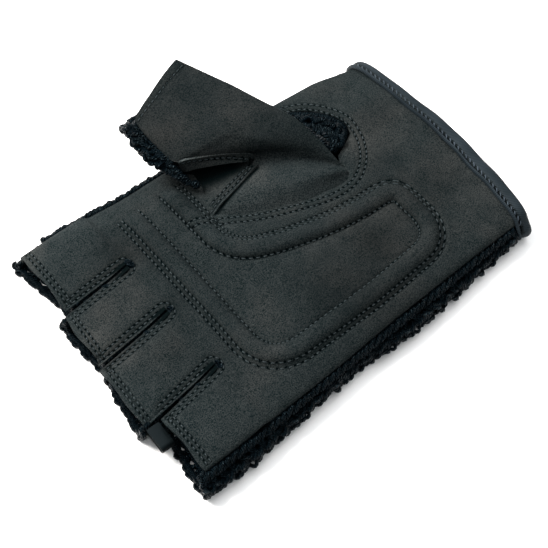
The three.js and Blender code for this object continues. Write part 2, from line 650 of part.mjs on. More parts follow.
// Satin tab between the ring and the little finger: a ribbon folded back on itself
const TAB = { nearX: -65.4, farX: -70.3, rootY: -20.2, foldY: -28.6, rootZ: 8.6, foldZ: 7.4, layer: 0.7, gap: 0.5 };
function fingerTab() {
  const thick = 2 * TAB.layer + TAB.gap;
  const outline = new THREE.Shape();
  const level = (y) => lerp(TAB.rootZ, TAB.foldZ, (y - TAB.rootY) / (TAB.foldY - TAB.rootY));
  const bend = TAB.foldY + thick / 2;
  outline.moveTo(TAB.rootY, level(TAB.rootY));
  outline.lineTo(bend, level(bend));
  outline.quadraticCurveTo(TAB.foldY, level(bend), TAB.foldY, level(bend) - thick / 2);
  outline.quadraticCurveTo(TAB.foldY, level(bend) - thick, bend, level(bend) - thick);
  outline.lineTo(TAB.rootY, level(TAB.rootY) - thick);
  outline.lineTo(TAB.rootY, level(TAB.rootY) - thick + TAB.layer);
  outline.lineTo(bend, level(bend) - thick + TAB.layer);
  outline.lineTo(bend, level(bend) - TAB.layer);
  outline.lineTo(TAB.rootY, level(TAB.rootY) - TAB.layer);
  const ribbon = new THREE.ExtrudeGeometry(outline, { depth: TAB.nearX - TAB.farX, bevelEnabled: false, curveSegments: 4 });
  // The outline is drawn in Y and Z, and its depth runs along X
  ribbon.applyMatrix4(new THREE.Matrix4().makeBasis(
    new THREE.Vector3(0, 1, 0),
    new THREE.Vector3(0, 0, 1),
    new THREE.Vector3(1, 0, 0),
  ));
  ribbon.translate(TAB.farX, 0, 0);
  return ribbon;
}

const SUEDE_BLACK = new THREE.MeshStandardMaterial({ color: 0x2b2e2f, roughness: 0.95, metalness: 0 });
const YARN_BLACK = new THREE.MeshStandardMaterial({ color: 0x14161c, roughness: 0.6, metalness: 0 });
const SATIN_BLACK = new THREE.MeshStandardMaterial({ color: 0x262a33, roughness: 0.45, metalness: 0 });

function piece(name, geometry, material) {
  geometry.computeVertexNormals();
  const mesh = new THREE.Mesh(geometry, material);
  mesh.name = name;
  return mesh;
}

const glove = new THREE.Group();
glove.add(piece('palm_panel', palmPanel(), SUEDE_BLACK));
glove.add(piece('crochet_back', crochetBack(), YARN_BLACK));
glove.add(piece('thumb_panel', thumbPanel(), SUEDE_BLACK));
glove.add(piece('thumb_crochet', thumbCrochet(), YARN_BLACK));
glove.add(piece('crotch_patch', patchPanel(), SUEDE_BLACK));
glove.add(piece('cuff_binding', cuffBinding(), SATIN_BLACK));
glove.add(piece('finger_tab', fingerTab(), SATIN_BLACK));

// The origin is under the middle of the glove
const extent = new THREE.Box3().setFromObject(glove);
glove.position.set(-(extent.min.x + extent.max.x) / 2, -(extent.min.y + extent.max.y) / 2, -extent.min.z);
glove.updateMatrixWorld(true);

export default glove;
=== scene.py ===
"""Looks of a half-finger cycling glove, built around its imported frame.

The glove lies palm up. Its suede, crochet, satin and stitches are surfaces worked out from the same
sizes as the frame, in millimetres in the glove's own layout, and placed in metres at the end.
"""

from functools import partial

import bpy
import numpy as np
from mathutils import Matrix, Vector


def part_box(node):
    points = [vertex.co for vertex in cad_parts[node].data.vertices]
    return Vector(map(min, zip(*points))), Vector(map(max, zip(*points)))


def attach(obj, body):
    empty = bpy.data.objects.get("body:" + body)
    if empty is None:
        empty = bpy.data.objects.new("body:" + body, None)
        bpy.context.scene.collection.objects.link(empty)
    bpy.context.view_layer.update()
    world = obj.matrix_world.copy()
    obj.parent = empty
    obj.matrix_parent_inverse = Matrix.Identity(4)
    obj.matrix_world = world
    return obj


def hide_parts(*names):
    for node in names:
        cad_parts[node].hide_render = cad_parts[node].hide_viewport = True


bl_info = {
    "name": "Half-Finger Cycling Glove",
    "version": (1, 0, 0),
    "blender": (4, 5, 0),
    "location": "View3D > Sidebar > Glove",
    "description": "Suede, crochet, satin and stitching of a half-finger cycling glove",
    "category": "Add Mesh",
}

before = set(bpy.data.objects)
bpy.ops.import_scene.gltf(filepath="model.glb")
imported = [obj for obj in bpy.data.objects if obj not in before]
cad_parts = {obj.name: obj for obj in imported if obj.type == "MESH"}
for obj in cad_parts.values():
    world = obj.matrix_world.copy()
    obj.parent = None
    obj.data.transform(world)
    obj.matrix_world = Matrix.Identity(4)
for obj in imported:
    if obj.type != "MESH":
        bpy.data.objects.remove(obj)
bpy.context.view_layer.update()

# Sizes of the glove in millimetres, and counts of its rows and columns
CROTCH_X = -39.0
WRIST_X = 79.3
WRIST_BOW = 3.2
WRIST_MIDDLE_Y = 2.0
WRIST_HALF_WIDTH = 46.0
ROOT_BLEND = 13.0
ROOT_RISE = 4.0
ROOT_FILL = 1.3
FINGER_POWER = 3.2
PALM_POWER = 3.0
SLIT_ROOT_SEAM = 12.0
FLOOR_INSET = 6.0
SEAM_GAP = 0.35
BINDING_SLOT = 3.4
ROLL_HALF_WIDTH = 3.7
ROLL_HEIGHT = 2.2
FINGER_ROWS = 7
PALM_ROWS = 20
LAST_ROW = FINGER_ROWS + PALM_ROWS
WALL_CELLS = 3
BACK_CELLS = 8
FINGER_COLUMNS = BACK_CELLS + 1
LAST_COLUMN = 4 * FINGER_COLUMNS - 1
FINGER_LINES = 42
PALM_LINES = 166
FINGER_ACROSS = 52
STITCH_PITCH = 2.15
STITCH_RADIUS = 0.21
STITCH_SHARE = np.array([0.2, 0.3, 0.5, 0.7, 0.8])
STITCH_HEIGHT = np.array([-0.26, -0.02, 0.07, -0.02, -0.26])
STITCH_SLANT = 0.3
GROOVE_WIDTH = 0.75
HOLE_LENGTH = 0.64
HOLE_WIDTH = 0.42
NO_ROW = 9.0
HEM_INSET = 2.7
LEAF_ROWS = (1.3, 3.1)
LEAF_HOLLOW = 5.5
LEAF_LENGTH = 26.0
LEAF_WALL = 0.75
GROUND_DEPTH = 1.35
GROUND_WALL = 0.5
BINDING_STEP = 0.9
BINDING_HALF = 2.05
BINDING_WALL = 0.5
BINDING_ROW = 2.1
BINDING_GROOVE = 1.75
BINDING_WIDTHS = {"y": (-44, -28, -10, 4, 18, 50), "wide": (5.8, 6.3, 6.5, 6.1, 5.6, 4.7)}
TAB_THICKNESS = 1.9
TAB_WALL = 0.55
TAB = {"near_x": -65.4, "far_x": -70.3, "root_y": -20.2, "fold_y": -28.6, "root_z": 8.6, "fold_z": 7.4}

# The photograph's view: degrees round and above the floor, metres away, height aimed at and lens in pixels
VIEW_TURN = -39.0
VIEW_TILT = 60.0
VIEW_DISTANCE = 0.65
VIEW_AIM = 8.0
LENS_PIXELS = 1885
PICTURE_PIXELS = 548
SENSOR_WIDTH = 36

# Lamps: name, place and size in metres, power and colour; all of them aim just above the floor
LAMPS = [
    ("key", (-0.34, 0.7, 0.85), 0.6, 41, (1.0, 0.97, 0.94)),
    ("fill", (0.7, 0.3, 1.1), 0.9, 9, (1, 1, 1)),
    ("overhead", (0.1, -0.3, 1.3), 1.2, 9, (1, 1, 1)),
]
LAMP_AIM = (0, 0, 0.01)
FLOOR_SIDE = 3.0

# What each point of the suede and the satin carries for its material
MARKS = ("near_row", "along_row", "painted_shade", "nap_and_painted_light")

# Kinds of sockets, the tint of the suede's shine, and the full turn that a twisted thread repeats
COLOUR = "NodeSocketColor"
NUMBER = "NodeSocketFloat"
SUEDE_SHEEN = (0.4, 0.9, 1.0, 1)
FULL_TURN = 6.28318


class Stations:
    """A table whose first column is the place, read between its rows by a smooth cubic curve."""

    def __init__(self, names, rows):
        self.names = names
        self.rows = np.array(rows, float)

    def __call__(self, name, place):
        x = self.rows[:, 0]
        y = self.rows[:, self.names.index(name)]
        slope = np.gradient(y)
        slope[1:-1] = (y[2:] - y[:-2]) / (x[2:] - x[:-2])
        slope[0] = (y[1] - y[0]) / (x[1] - x[0])
        slope[-1] = (y[-1] - y[-2]) / (x[-1] - x[-2])
        place = np.asarray(place, float)
        k = np.clip(np.searchsorted(x, place, side="left") - 1, 0, len(x) - 2)
        step = x[k + 1] - x[k]
        t = np.clip((place - x[k]) / step, 0, 1)
        rise = t * t * (3 - 2 * t)
        ease = slope[k] * t * (1 - t) ** 2 - slope[k + 1] * t * t * (1 - t)
        return y[k] * (1 - rise) + y[k + 1] * rise + step * ease


palm = Stations(
    ["x", "low", "high", "crown", "low_seam", "high_seam"],
    [
        [-70, -44.6, 61.2, 12.2, 10.2, 4.4],
        [-55, -44.4, 61.0, 12.8, 10.3, 4.4],
        [-39, -43.9, 59.6, 13.6, 10.4, 4.6],
        [-25, -43.4, 57.9, 14.8, 10.6, 4.8],
        [-8, -42.8, 57.2, 15.7, 10.8, 5.0],
        [20, -41.0, 56.6, 16.0, 10.8, 5.0],
        [45, -39.8, 55.5, 15.7, 10.4, 5.2],
        [62, -39.0, 53.6, 14.6, 9.8, 6.0],
        [83, -38.3, 49.0, 12.6, 8.8, 7.4],
    ],
)
back = Stations(
    ["x", "low", "high", "lift"],
    [
        [-72, -48.9, 60.4, 0],
        [-60, -49.6, 62.2, 0],
        [-46, -49.2, 62.6, 0],
        [-30, -47.4, 61.2, 0],
        [-16, -45.9, 59.9, 0],
        [4, -44.8, 58.7, 0],
        [24, -45.4, 57.8, 0],
        [44, -44.2, 56.6, 0],
        [62, -42.0, 54.6, 0],
        [83, -41.2, 50.2, 2.2],
    ],
)

# Fingers from the little one to the index: the two values are the low and the high side
FINGERS = [
    {"tip": (-44.5, -20.3), "root": (-43.9, -17.3), "end": (-64.6, -64.3), "crown": 12.0,
     "seam": (10.2, 9.8), "reach": (3.2, -0.6)},
    {"tip": (-19.7, 7.3), "root": (-16.7, 9.0), "end": (-70.6, -69.2), "crown": 10.8,
     "seam": (8.8, 8.7), "reach": (1.2, -1.8)},
    {"tip": (8.4, 31.3), "root": (9.9, 31.8), "end": (-68.3, -66.4), "crown": 10.3,
     "seam": (8.4, 8.4), "reach": (-2.0, 1.2)},
    {"tip": (32.3, 61.2), "root": (32.6, 59.6), "end": (-64.6, -64.2), "crown": 10.8,
     "seam": (9.0, 4.4), "reach": (-2.8, 2.0)},
]

THUMB_OPENING = [
    (-4.6, 29.2), (2, 24.6), (9, 20.2), (19, 15.8), (29, 12.0), (37, 10.3), (41.6, 10.3), (43.4, 12.9),
    (43.9, 17.4), (45.5, 20.2), (50, 22.1), (55.4, 25.2), (57.2, 30), (55.6, 36.2), (50.6, 42.9),
    (45.5, 46.8), (40, 48.0), (32, 46.4), (26, 42), (22.4, 36.6), (16, 33.2), (8, 30.8), (0, 29.6),
]

thumb = Stations(
    ["step", "left_x", "left_y", "left_z", "right_x", "right_y", "right_z", "bow", "lift"],
    [
        [0, -3.2, 28.9, 15.2, 41.2, 11.8, 15.2, 4.2, 0.8],
        [1, 0.8, 29.0, 15.6, 41.9, 12.4, 15.6, 3.2, 2.0],
        [2, 8.0, 30.2, 15.9, 42.3, 13.2, 15.9, 2.0, 3.2],
        [3, 15.0, 32.2, 16.0, 42.6, 14.2, 15.8, 0.6, 2.8],
        [4, 20.6, 34.9, 16.0, 42.8, 15.6, 15.6, -1.2, 0.9],
        [5, 21.4, 37.7, 17.9, 42.9, 18.4, 17.6, -0.8, 1.6],
        [6, 17.5, 40.0, 19.5, 42.3, 23.0, 19.8, -0.3, 2.4],
        [7, 10.5, 43.2, 21.6, 41.2, 29.5, 22.2, 0, 3.0],
        [8, 2.2, 46.3, 23.8, 39.2, 37.9, 24.6, 0.3, 3.0],
        [9, -5.1, 49.3, 25.6, 34.8, 46.2, 27.2, 0.6, 2.8],
        [10, -6.6, 56.7, 27.4, 29.2, 58.2, 29.6, 0.5, 2.6],
        [11, -7.3, 63.2, 29.1, 23.8, 69.0, 31.5, 0.1, 2.4],
        [12, -7.2, 68.0, 30.6, 19.2, 78.2, 33.0, -0.2, 2.2],
    ],
)
THUMB_POWER = 2.4
THUMB_END = 12

# Soft hollows of the palm: their middles, widths and depths
DENTS = [
    (-33, 31.5, 6, 0.5), (-32, 8.6, 7, 0.6), (-31, -17, 7, 0.5), (-24, 20, 9, 0.4), (-22, -6, 8, 0.4),
    (66, 20, 9, 0.9), (70, -18, 10, 0.8), (64, 42, 8, 0.8), (70, 4, 7, -0.6), (61, 31, 7, -0.6),
    (58, -31, 9, 0.5),
]

# Painted light and shade, partly the lie of the suede's nap: middles and widths of the lighter places, and
# how much, below 0 where darker
NAP_AND_PAINTED_LIGHT = [
    (-38, 40, 8, -0.36), (-33, 30, 8, -0.2), (-36, 8, 7, -0.24), (-46, -4, 6, -0.24), (-38, -18, 7, -0.12),
    (8, -20, 13, -0.34), (33, -14, 14, -0.34), (54, -12, 9, -0.24), (18, -35, 15, -0.26), (56, 8, 9, -0.2),
    (74, 36, 10, 0.16), (25, 23, 9, 0.2), (-6, 22, 7, 0.3), (-56, -30, 11, 0.2), (-42, 57, 10, 0.34),
    (-56, 54, 9, 0.16), (70, 27, 7, -0.2), (67, -8, 8, -0.2), (28, 21, 7, 0.2),
    (-72, -20, 7, 0.35), (32, -16, 6, -0.2), (-9, 38, 5, -0.35),
]

# Middle of the crochet that hangs from the thumb's low corner to the palm, and the one beside it
CORNER_ROPES = [
    [(-9.2, 56, 24), (-8.5, 52.4, 22.5), (-7.5, 49.4, 21.3), (-6.1, 46.2, 20.2),
     (-4.9, 43.7, 19.2), (-3.2, 41.6, 18.5), (-1.4, 39.7, 17.6)],
    [(-8.0, 57.0, 25.6), (-6.8, 52.0, 24.3), (-5.8, 48.6, 23.0), (-5.0, 45.6, 21.2), (-4.3, 43.4, 19.6)],
]

# Loops along the little-finger side: column, pitch, reach, how far they face up, share of the yarn's radius
SIDE_LOOPS = [
    (0.4, 2.2, 1.1, 0.8, 0.6), (0.9, 2.4, 1.7, 0.4, 0.64), (1.4, 2.3, 1.9, 0.1, 0.66),
    (1.9, 2.5, 1.9, 0.1, 0.64), (2.4, 2.3, 1.8, 0.0, 0.66), (2.9, 2.4, 1.3, 0.0, 0.6),
]

# Braids of the thumb's net from its foot to its open end, and the rows of loops over its foot
THUMB_BRAIDS = np.array([0.05, 0.7, 1.4, 2.1, 2.8, 3.5, 4.2, 4.9, 5.6, 6.3, 6.93])
THUMB_FOOT_LOOPS = (0.45, 1.1, 1.75, 2.4)

# Loops down the low edge of the thumb's net: column and reach
THUMB_SIDE_LOOPS = [(0.35, 1.0), (0.8, 1.3), (1.3, 1.5)]

# Foot of the thumb's crochet inside the opening, and its rows from the foot to the open end
THUMB_FOOT = [
    (26.4, 40.0), (30.8, 43.0), (35.0, 45.0), (40.2, 46.2), (45.0, 45.8), (49.8, 42.3), (54.6, 36),
    (56.3, 30.2), (54.7, 26.0), (50.0, 23.2), (45.4, 21.6),
]
THUMB_BACK = [
    {"share": 0, "left": (26.4, 40.0, 15.2), "step": 0, "belly": 14.8, "bulge": 0, "onward": 0},
    {"share": 0.45, "left": (16.8, 43.6, 17.2), "step": 6, "belly": 16.4, "bulge": 0, "onward": 0},
    {"share": 0.75, "left": (6.0, 49.0, 17.5), "step": 7, "belly": 16.9, "bulge": 0, "onward": 0},
    {"share": 0.92, "left": (-6.6, 52.2, 18.0), "step": 8, "belly": 17.0, "bulge": 3, "onward": 0.6},
    {"share": 1, "left": None, "step": 9, "belly": 17.6, "bulge": 9, "onward": 3.6},
    {"share": 1, "left": None, "step": 10, "belly": 19.0, "bulge": 10.5, "onward": 2.4},
    {"share": 1, "left": None, "step": 11, "belly": 20.6, "bulge": 9.5, "onward": 2.2},
    {"share": 1, "left": None, "step": 12, "belly": 22.2, "bulge": 9, "onward": 2.6},
]

crotch = Stations(
    ["along", "low_x", "low_y", "fold_x", "fold_y", "thumb_step"],
    [
        [0, -5.8, 28.2, -3.9, 48.8, 8.7],
        [0.25, 0.8, 29.4, 3.2, 45.6, 7.9],
        [0.5, 7.2, 30.8, 9.4, 42.4, 7.12],
        [0.75, 14.0, 32.4, 15.4, 39.2, 6.2],
        [1, 20.4, 34.2, 20.4, 36.0, 4.9],
    ],
)

# Middle of the double seam round the ball of the thumb
THENAR_SEAM = [
    (-14.5, 30.2), (-8, 27.4), (-2, 23.6), (3.6, 19.9), (8.6, 17.0), (13.6, 14.8), (18.6, 12.7),
    (23.6, 10.9), (28.6, 9.0), (33.6, 7.7), (38.6, 7.3), (43.6, 7.9), (48.3, 10.4), (52.4, 14.2),
    (55.4, 18.6), (57.6, 23.4), (58.6, 28.6), (57.8, 35), (54.0, 41.6), (48.6, 47.0), (42, 49.8),
    (35, 50.2),
]


def lerp(a, b, t):
    return a + (b - a) * t


def smoothstep(x, low, high):
    t = np.clip((x - low) / (high - low), 0, 1)
    return t * t * (3 - 2 * t)


def unit(v):
    return v / np.maximum(np.linalg.norm(v, axis=-1, keepdims=True), 1e-9)


def bell(x, wide):
    """A bell curve, 1 in its middle and 0.37 at one width away."""
    return np.exp(-((x / wide) ** 2))


def arc_length(line):
    """Length of a line from its start to each of its points."""
    return np.concatenate([[0], np.cumsum(np.linalg.norm(np.diff(line, axis=0), axis=1))])


def read_line(where, at, line):
    """Places on a line at given lengths along it; at is the length to each of its points."""
    return np.stack([np.interp(where, at, line[:, axis]) for axis in range(line.shape[1])], -1)


def uneven(a, b, turn=0.0):
    """Fixed unevenness from -1 to 1 for pairs of numbers: the fraction of a large sine, spread over 2."""
    wave = np.sin(a * 12.9898 + b * 78.233 + turn * 37.719) * 43758.5453
    return 2 * (wave - np.floor(wave)) - 1


def arch(q, power):
    """A superellipse from edge to edge: the place across, -1 to 1, and the rise, 0 to 1, at q = 0 to 1."""
    angle = np.pi * (1 - np.asarray(q, float))
    c = np.cos(angle)
    return np.sign(c) * np.abs(c) ** (2 / power), np.abs(np.sin(angle)) ** (2 / power)


def spread_over_arch(count, power):
    """Places across for arch() whose points lie evenly in its middle and closer together at its edges."""
    t = np.linspace(-1, 1, count)
    s = 1.5 * t - 0.5 * t ** 3
    return 1 - np.arccos(np.sign(s) * np.abs(s) ** (power / 2)) / np.pi


def wrist_edge(y):
    return WRIST_X - WRIST_BOW * ((y - WRIST_MIDDLE_Y) / WRIST_HALF_WIDTH) ** 2


def palm_top(x, y):
    """Height of the palm: a superelliptic arch of the table's crown between its two seam heights."""
    low = palm("low", x)
    high = palm("high", x)
    f = np.clip((y - low) / (high - low), 0, 1)
    seam = lerp(palm("low_seam", x), palm("high_seam", x), f)
    rise = np.maximum(1 - np.abs(2 * f - 1) ** PALM_POWER, 0) ** (1 / PALM_POWER)
    return seam + (palm("crown", x) - seam) * rise


def finger_row(k, row, reach):
    """Edges, seam heights and middle X of finger k at a row, and the share of the palm in it."""
    finger = FINGERS[k]
    row = np.asarray(row, float)
    along = np.minimum(row / FINGER_ROWS, 1)
    beyond = np.clip((row - FINGER_ROWS) / (PALM_ROWS - 1), 0, 1)
    end = (sum(finger["end"]) - sum(reach)) / 2
    middle = np.where(row < FINGER_ROWS, lerp(end, CROTCH_X, along), lerp(CROTCH_X, WRIST_X, beyond))
    edges = [lerp(finger["tip"][s], finger["root"][s], along) for s in (0, 1)]
    seams = [lerp(finger["seam"][s], SLIT_ROOT_SEAM, along) for s in (0, 1)]
    if k == 0:
        edges[0] = palm("low", middle)
        seams[0] = palm("low_seam", middle)
    if k == 3:
        edges[1] = palm("high", middle)
        seams[1] = palm("high_seam", middle)
    return along, middle, edges, seams, smoothstep((middle - CROTCH_X) / ROOT_BLEND, 0, 1)


def place_along(k, row, q, y, reach):
    """X of a point: finger rows run from the finger end to the crotch, palm rows on to the wrist."""
    finger = FINGERS[k]
    end = lerp(finger["end"][0] - reach[0], finger["end"][1] - reach[1], q)
    beyond = np.clip((row - FINGER_ROWS) / (PALM_ROWS - 1), 0, 1)
    near = lerp(end, CROTCH_X, np.minimum(row / FINGER_ROWS, 1))
    far = lerp(CROTCH_X, wrist_edge(y) - SEAM_GAP, beyond)
    slot = np.maximum(row - (LAST_ROW - 1), 0) * BINDING_SLOT
    return np.where(row < FINGER_ROWS, near, far + slot)


def suede_point(k, row, q):
    """Outer face of the suede: the finger's own arch, which turns into the palm's arch behind the crotch."""
    finger = FINGERS[k]
    row, q = np.broadcast_arrays(np.asarray(row, float), np.asarray(q, float))
    along, middle, edges, seams, blend = finger_row(k, row, (0, 0))
    s, rise = arch(q, FINGER_POWER)
    across = (1 + s) / 2
    seam = lerp(seams[0], seams[1], across) + ROOT_FILL * smoothstep(along, 0.7, 1)
    crown = lerp(finger["crown"], palm("crown", CROTCH_X), along)
    root_y = lerp(finger["root"][0], finger["root"][1], across)
    share = (root_y - FINGERS[0]["root"][0]) / (FINGERS[3]["root"][1] - FINGERS[0]["root"][0])
    palm_y = lerp(palm("low", middle), palm("high", middle), share)
    y = lerp(lerp(edges[0], edges[1], across), palm_y, blend)
    level = smoothstep((middle - CROTCH_X + 1) / ROOT_RISE, 0, 1)
    z = lerp(seam + (crown - seam) * rise, palm_top(middle, y), level)
    return np.stack([place_along(k, row, q, y, (0, 0)), y, z], -1)


def suede_height(x, y):
    """Height of the suede over a place in plan: the same two arches, read back from X and Y."""
    x, y = np.broadcast_arrays(np.asarray(x, float), np.asarray(y, float))
    root_low, root_high = FINGERS[0]["root"][0], FINGERS[3]["root"][1]
    z = np.zeros(x.shape)
    best = np.full(x.shape, np.inf)
    for k, finger in enumerate(FINGERS):
        end = sum(finger["end"]) / 2
        row = np.where(x < CROTCH_X, FINGER_ROWS * (x - end) / (CROTCH_X - end), FINGER_ROWS + 1e-6)
        along, _, edges, seams, _ = finger_row(k, row, (0, 0))
        blend = smoothstep((x - CROTCH_X) / ROOT_BLEND, 0, 1)
        shares = [(finger["root"][s] - root_low) / (root_high - root_low) for s in (0, 1)]
        sides = [lerp(edges[s], lerp(palm("low", x), palm("high", x), shares[s]), blend) for s in (0, 1)]
        across = (y - sides[0]) / (sides[1] - sides[0])
        miss = np.maximum(np.maximum(-across, across - 1), 0)
        across = np.clip(across, 0, 1)
        rise = np.maximum(1 - np.abs(2 * across - 1) ** FINGER_POWER, 0) ** (1 / FINGER_POWER)
        seam = lerp(seams[0], seams[1], across) + ROOT_FILL * smoothstep(along, 0.7, 1)
        crown = lerp(finger["crown"], palm("crown", CROTCH_X), along)
        level = smoothstep((x - CROTCH_X + 1) / ROOT_RISE, 0, 1)
        here = lerp(seam + (crown - seam) * rise, palm_top(x, y), level)
        z = np.where(miss < best, here, z)
        best = np.minimum(best, miss)
    return z


def crochet_grid():
    """The frame's grid of points on the crocheted back, as one array of rows, columns and XYZ."""
    rows = np.arange(LAST_ROW + 1, dtype=float)
    columns = []
    for k, finger in enumerate(FINGERS):
        _, middle, edges, seams, blend = finger_row(k, rows, finger["reach"])
        lift = np.maximum(back("lift", middle), 0)
        for cell in range(FINGER_COLUMNS):
            side = 0 if cell < BACK_CELLS / 2 else 1
            inward = 1 if side == 0 else -1
            on_wall = (cell if side == 0 else BACK_CELLS - cell) / WALL_CELLS
            rim = edges[side]
            outer = (k == 0 and side == 0) or (k == 3 and side == 1)
            rim_z = seams[side] - SEAM_GAP
            wide = rim
            if outer:
                widest = back("low" if side == 0 else "high", middle)
                wide = (8 * widest - rim - (rim + inward * FLOOR_INSET)) / 6
            t = min(on_wall, 1)
            u = 1 - t
            y = u ** 3 * rim + 3 * t * u * wide + t ** 3 * (rim + inward * FLOOR_INSET)
            z = u ** 3 * rim_z + 3 * t * u * u * 0.62 * rim_z
            if on_wall > 1:
                y = lerp(edges[0] + FLOOR_INSET, edges[1] - FLOOR_INSET, (cell - WALL_CELLS) / 2)
            z = np.maximum(z, 0) * (1 - lift / np.maximum(rim_z, 1)) + lift
            if not (outer and on_wall <= 1):
                column = k * FINGER_COLUMNS + cell
                share = (column - WALL_CELLS) / (LAST_COLUMN - 2 * WALL_CELLS)
                low = palm("low", middle) + FLOOR_INSET
                high = palm("high", middle) - FLOOR_INSET
                y = lerp(y, lerp(low, high, share), blend)
                z = lerp(z, lift, blend)
            q = np.clip((y - edges[0]) / (edges[1] - edges[0]), 0, 1)
            columns.append(np.stack([place_along(k, rows, q, y, finger["reach"]), y, z], -1))
    return np.stack(columns, 1)


def smooth_grid(points, u, v):
    """A smooth surface through a grid of points: cubic curves along its rows and its columns, at u, v."""
    u, v = np.broadcast_arrays(np.asarray(u, float), np.asarray(v, float))
    result = 0

    def weights(t):
        return (
            (-t + 2 * t ** 2 - t ** 3) / 2,
            (2 - 5 * t ** 2 + 3 * t ** 3) / 2,
            (t + 4 * t ** 2 - 3 * t ** 3) / 2,
            (t ** 3 - t ** 2) / 2,
        )

    rows, columns = points.shape[:2]
    i = np.clip(np.floor(u).astype(int), 0, rows - 2)
    j = np.clip(np.floor(v).astype(int), 0, columns - 2)
    along = weights(np.clip(u - i, 0, 1))
    across = weights(np.clip(v - j, 0, 1))
    padded = np.pad(points, ((1, 1), (1, 1), (0, 0)), mode="reflect", reflect_type="odd")
    for a in range(4):
        for b in range(4):
            result = result + (along[a] * across[b])[..., None] * padded[i + a, j + b]
    return result


def surface_normals(shape, u, v, step=0.02):
    """Unit normals of shape(u, v), from its slopes along u and along v."""
    along = shape(u + step, v) - shape(u - step, v)
    across = shape(u, v + step) - shape(u, v - step)
    return unit(np.cross(along, across))


def grid_normals(points):
    """Unit normals of a grid of points, from the differences along its rows and columns."""
    along = np.gradient(points, axis=0)
    across = np.gradient(points, axis=1)
    return unit(np.cross(along, across))


def thumb_edge(side, step):
    return np.stack([thumb(side + axis, step) for axis in ("_x", "_y", "_z")], -1)


def thumb_point(step, q):
    """Outer face of the thumb's suede: a line between its two edges, bowed in plan and arched in height.

    On its leaf side the arch falls more evenly in the middle steps and is fuller towards the open end.
    """
    step, q = np.broadcast_arrays(np.asarray(step, float), np.asarray(q, float))
    left = thumb_edge("left", step)
    run = thumb_edge("right", step) - left
    s, rise = arch(q, THUMB_POWER)
    away = unit(np.stack([run[..., 1], -run[..., 0], np.zeros(step.shape)], -1))
    point = left + run * ((1 + s) / 2)[..., None] + away * (thumb("bow", step) * (1 - s * s))[..., None]
    full = (1 - np.clip(np.abs(s), 0, 1) ** 4.2) ** (1 / 4.2)
    slope = 1 - np.clip(np.abs(s), 0, 1) ** 1.3
    rise = lerp(rise, slope, smoothstep(step, 4.6, 6) * smoothstep(-s, 0, 0.25))
    rise = lerp(rise, full, smoothstep(step, 9, 10.6) * smoothstep(-s, 0, 0.5))
    point[..., 2] += thumb("lift", step) * rise
    return point


def thumb_back_grid():
    """The frame's grid of points on the thumb's crochet, from its foot to its open end."""
    rows = []
    q = np.arange(len(THUMB_FOOT)) / (len(THUMB_FOOT) - 1)
    s, rise = arch(q, THUMB_POWER)
    foot_xy = np.array(THUMB_FOOT, float)
    seat = lerp(0.4, -0.5, smoothstep(np.arange(len(q), dtype=float), 2, 5))
    foot = np.column_stack([foot_xy, palm_top(foot_xy[:, 0], foot_xy[:, 1]) + seat])
    on_left = smoothstep(-s, -0.3, 0.6)
    for entry in THUMB_BACK:
        if entry["share"] == 0:
            rows.append(foot)
            continue
        down = np.array([0, 0, -SEAM_GAP])
        start = np.array(entry["left"]) if entry["left"] else thumb_edge("left", entry["step"]) + down
        run = thumb_edge("right", entry["step"]) + down - start
        point = start + run * ((1 + s) / 2)[:, None]
        point[:, 2] += (entry["belly"] - point[:, 2]) * rise
        point[:, 0] -= entry["bulge"] * rise * on_left
        point[:, 1] += entry["onward"] * rise * lerp(0.4, 1, on_left)
        risen = 1 - (1 - entry["share"]) ** 2
        mixed = lerp(foot, point, entry["share"])
        mixed[:, 2] = lerp(foot[:, 2], point[:, 2], risen)
        rows.append(mixed)
    return np.stack(rows)


def thumb_cloth(step, q):
    """The thumb's suede, its sewn edges run on under the palm's rim, under the leaf and by the crochet."""
    step, q = np.broadcast_arrays(np.asarray(step, float), np.asarray(q, float))
    point = thumb_point(step, q)
    run = unit((thumb_edge("right", step) - thumb_edge("left", step)) * np.array([1, 1, 0]))
    away = np.stack([run[..., 1], -run[..., 0], np.zeros(step.shape)], -1)
    sewn = 1 - smoothstep(step, 3.6, 5.2)
    left = 2.0 * sewn * (1 - smoothstep(q, 0, 0.12))
    left += 1.3 * smoothstep(step, 5.0, 6.2) * (1 - smoothstep(step, 8.2, 9.2)) * (1 - smoothstep(q, 0, 0.2))
    right = 1.3 * sewn * smoothstep(q, 0.9, 1)
    front = 1 - smoothstep(step, 0, 0.7)
    point = point + run * (right - left)[..., None] + away * (1.6 * front)[..., None]
    at_edges = np.maximum(1 - smoothstep(q, 0, 0.1), smoothstep(q, 0.93, 1))
    point[..., 2] -= 0.9 * front + 0.4 * sewn * (1 - front) * at_edges
    return point


def thumb_last_step():
    """Millimetres between the thumb's last two steps, by which its hem's inset is laid out."""
    return np.linalg.norm(thumb_point(THUMB_END, 0.5) - thumb_point(THUMB_END - 1, 0.5))


def leaf_line(name, along):
    """The leaf's low edge or its fold in plan, at places along it."""
    return np.stack([crotch(name + "_x", along), crotch(name + "_y", along)], -1)


def leaf_sizes(along):
    """Width of the leaf's strip on the palm and height of its wall up to the thumb, at places along it."""
    strip = np.hypot(*(leaf_line("low", along) - leaf_line("fold", along)).T)
    wall_height = np.linalg.norm(leaf_point(along, 2) - leaf_point(along, 1), axis=-1)
    return strip, wall_height


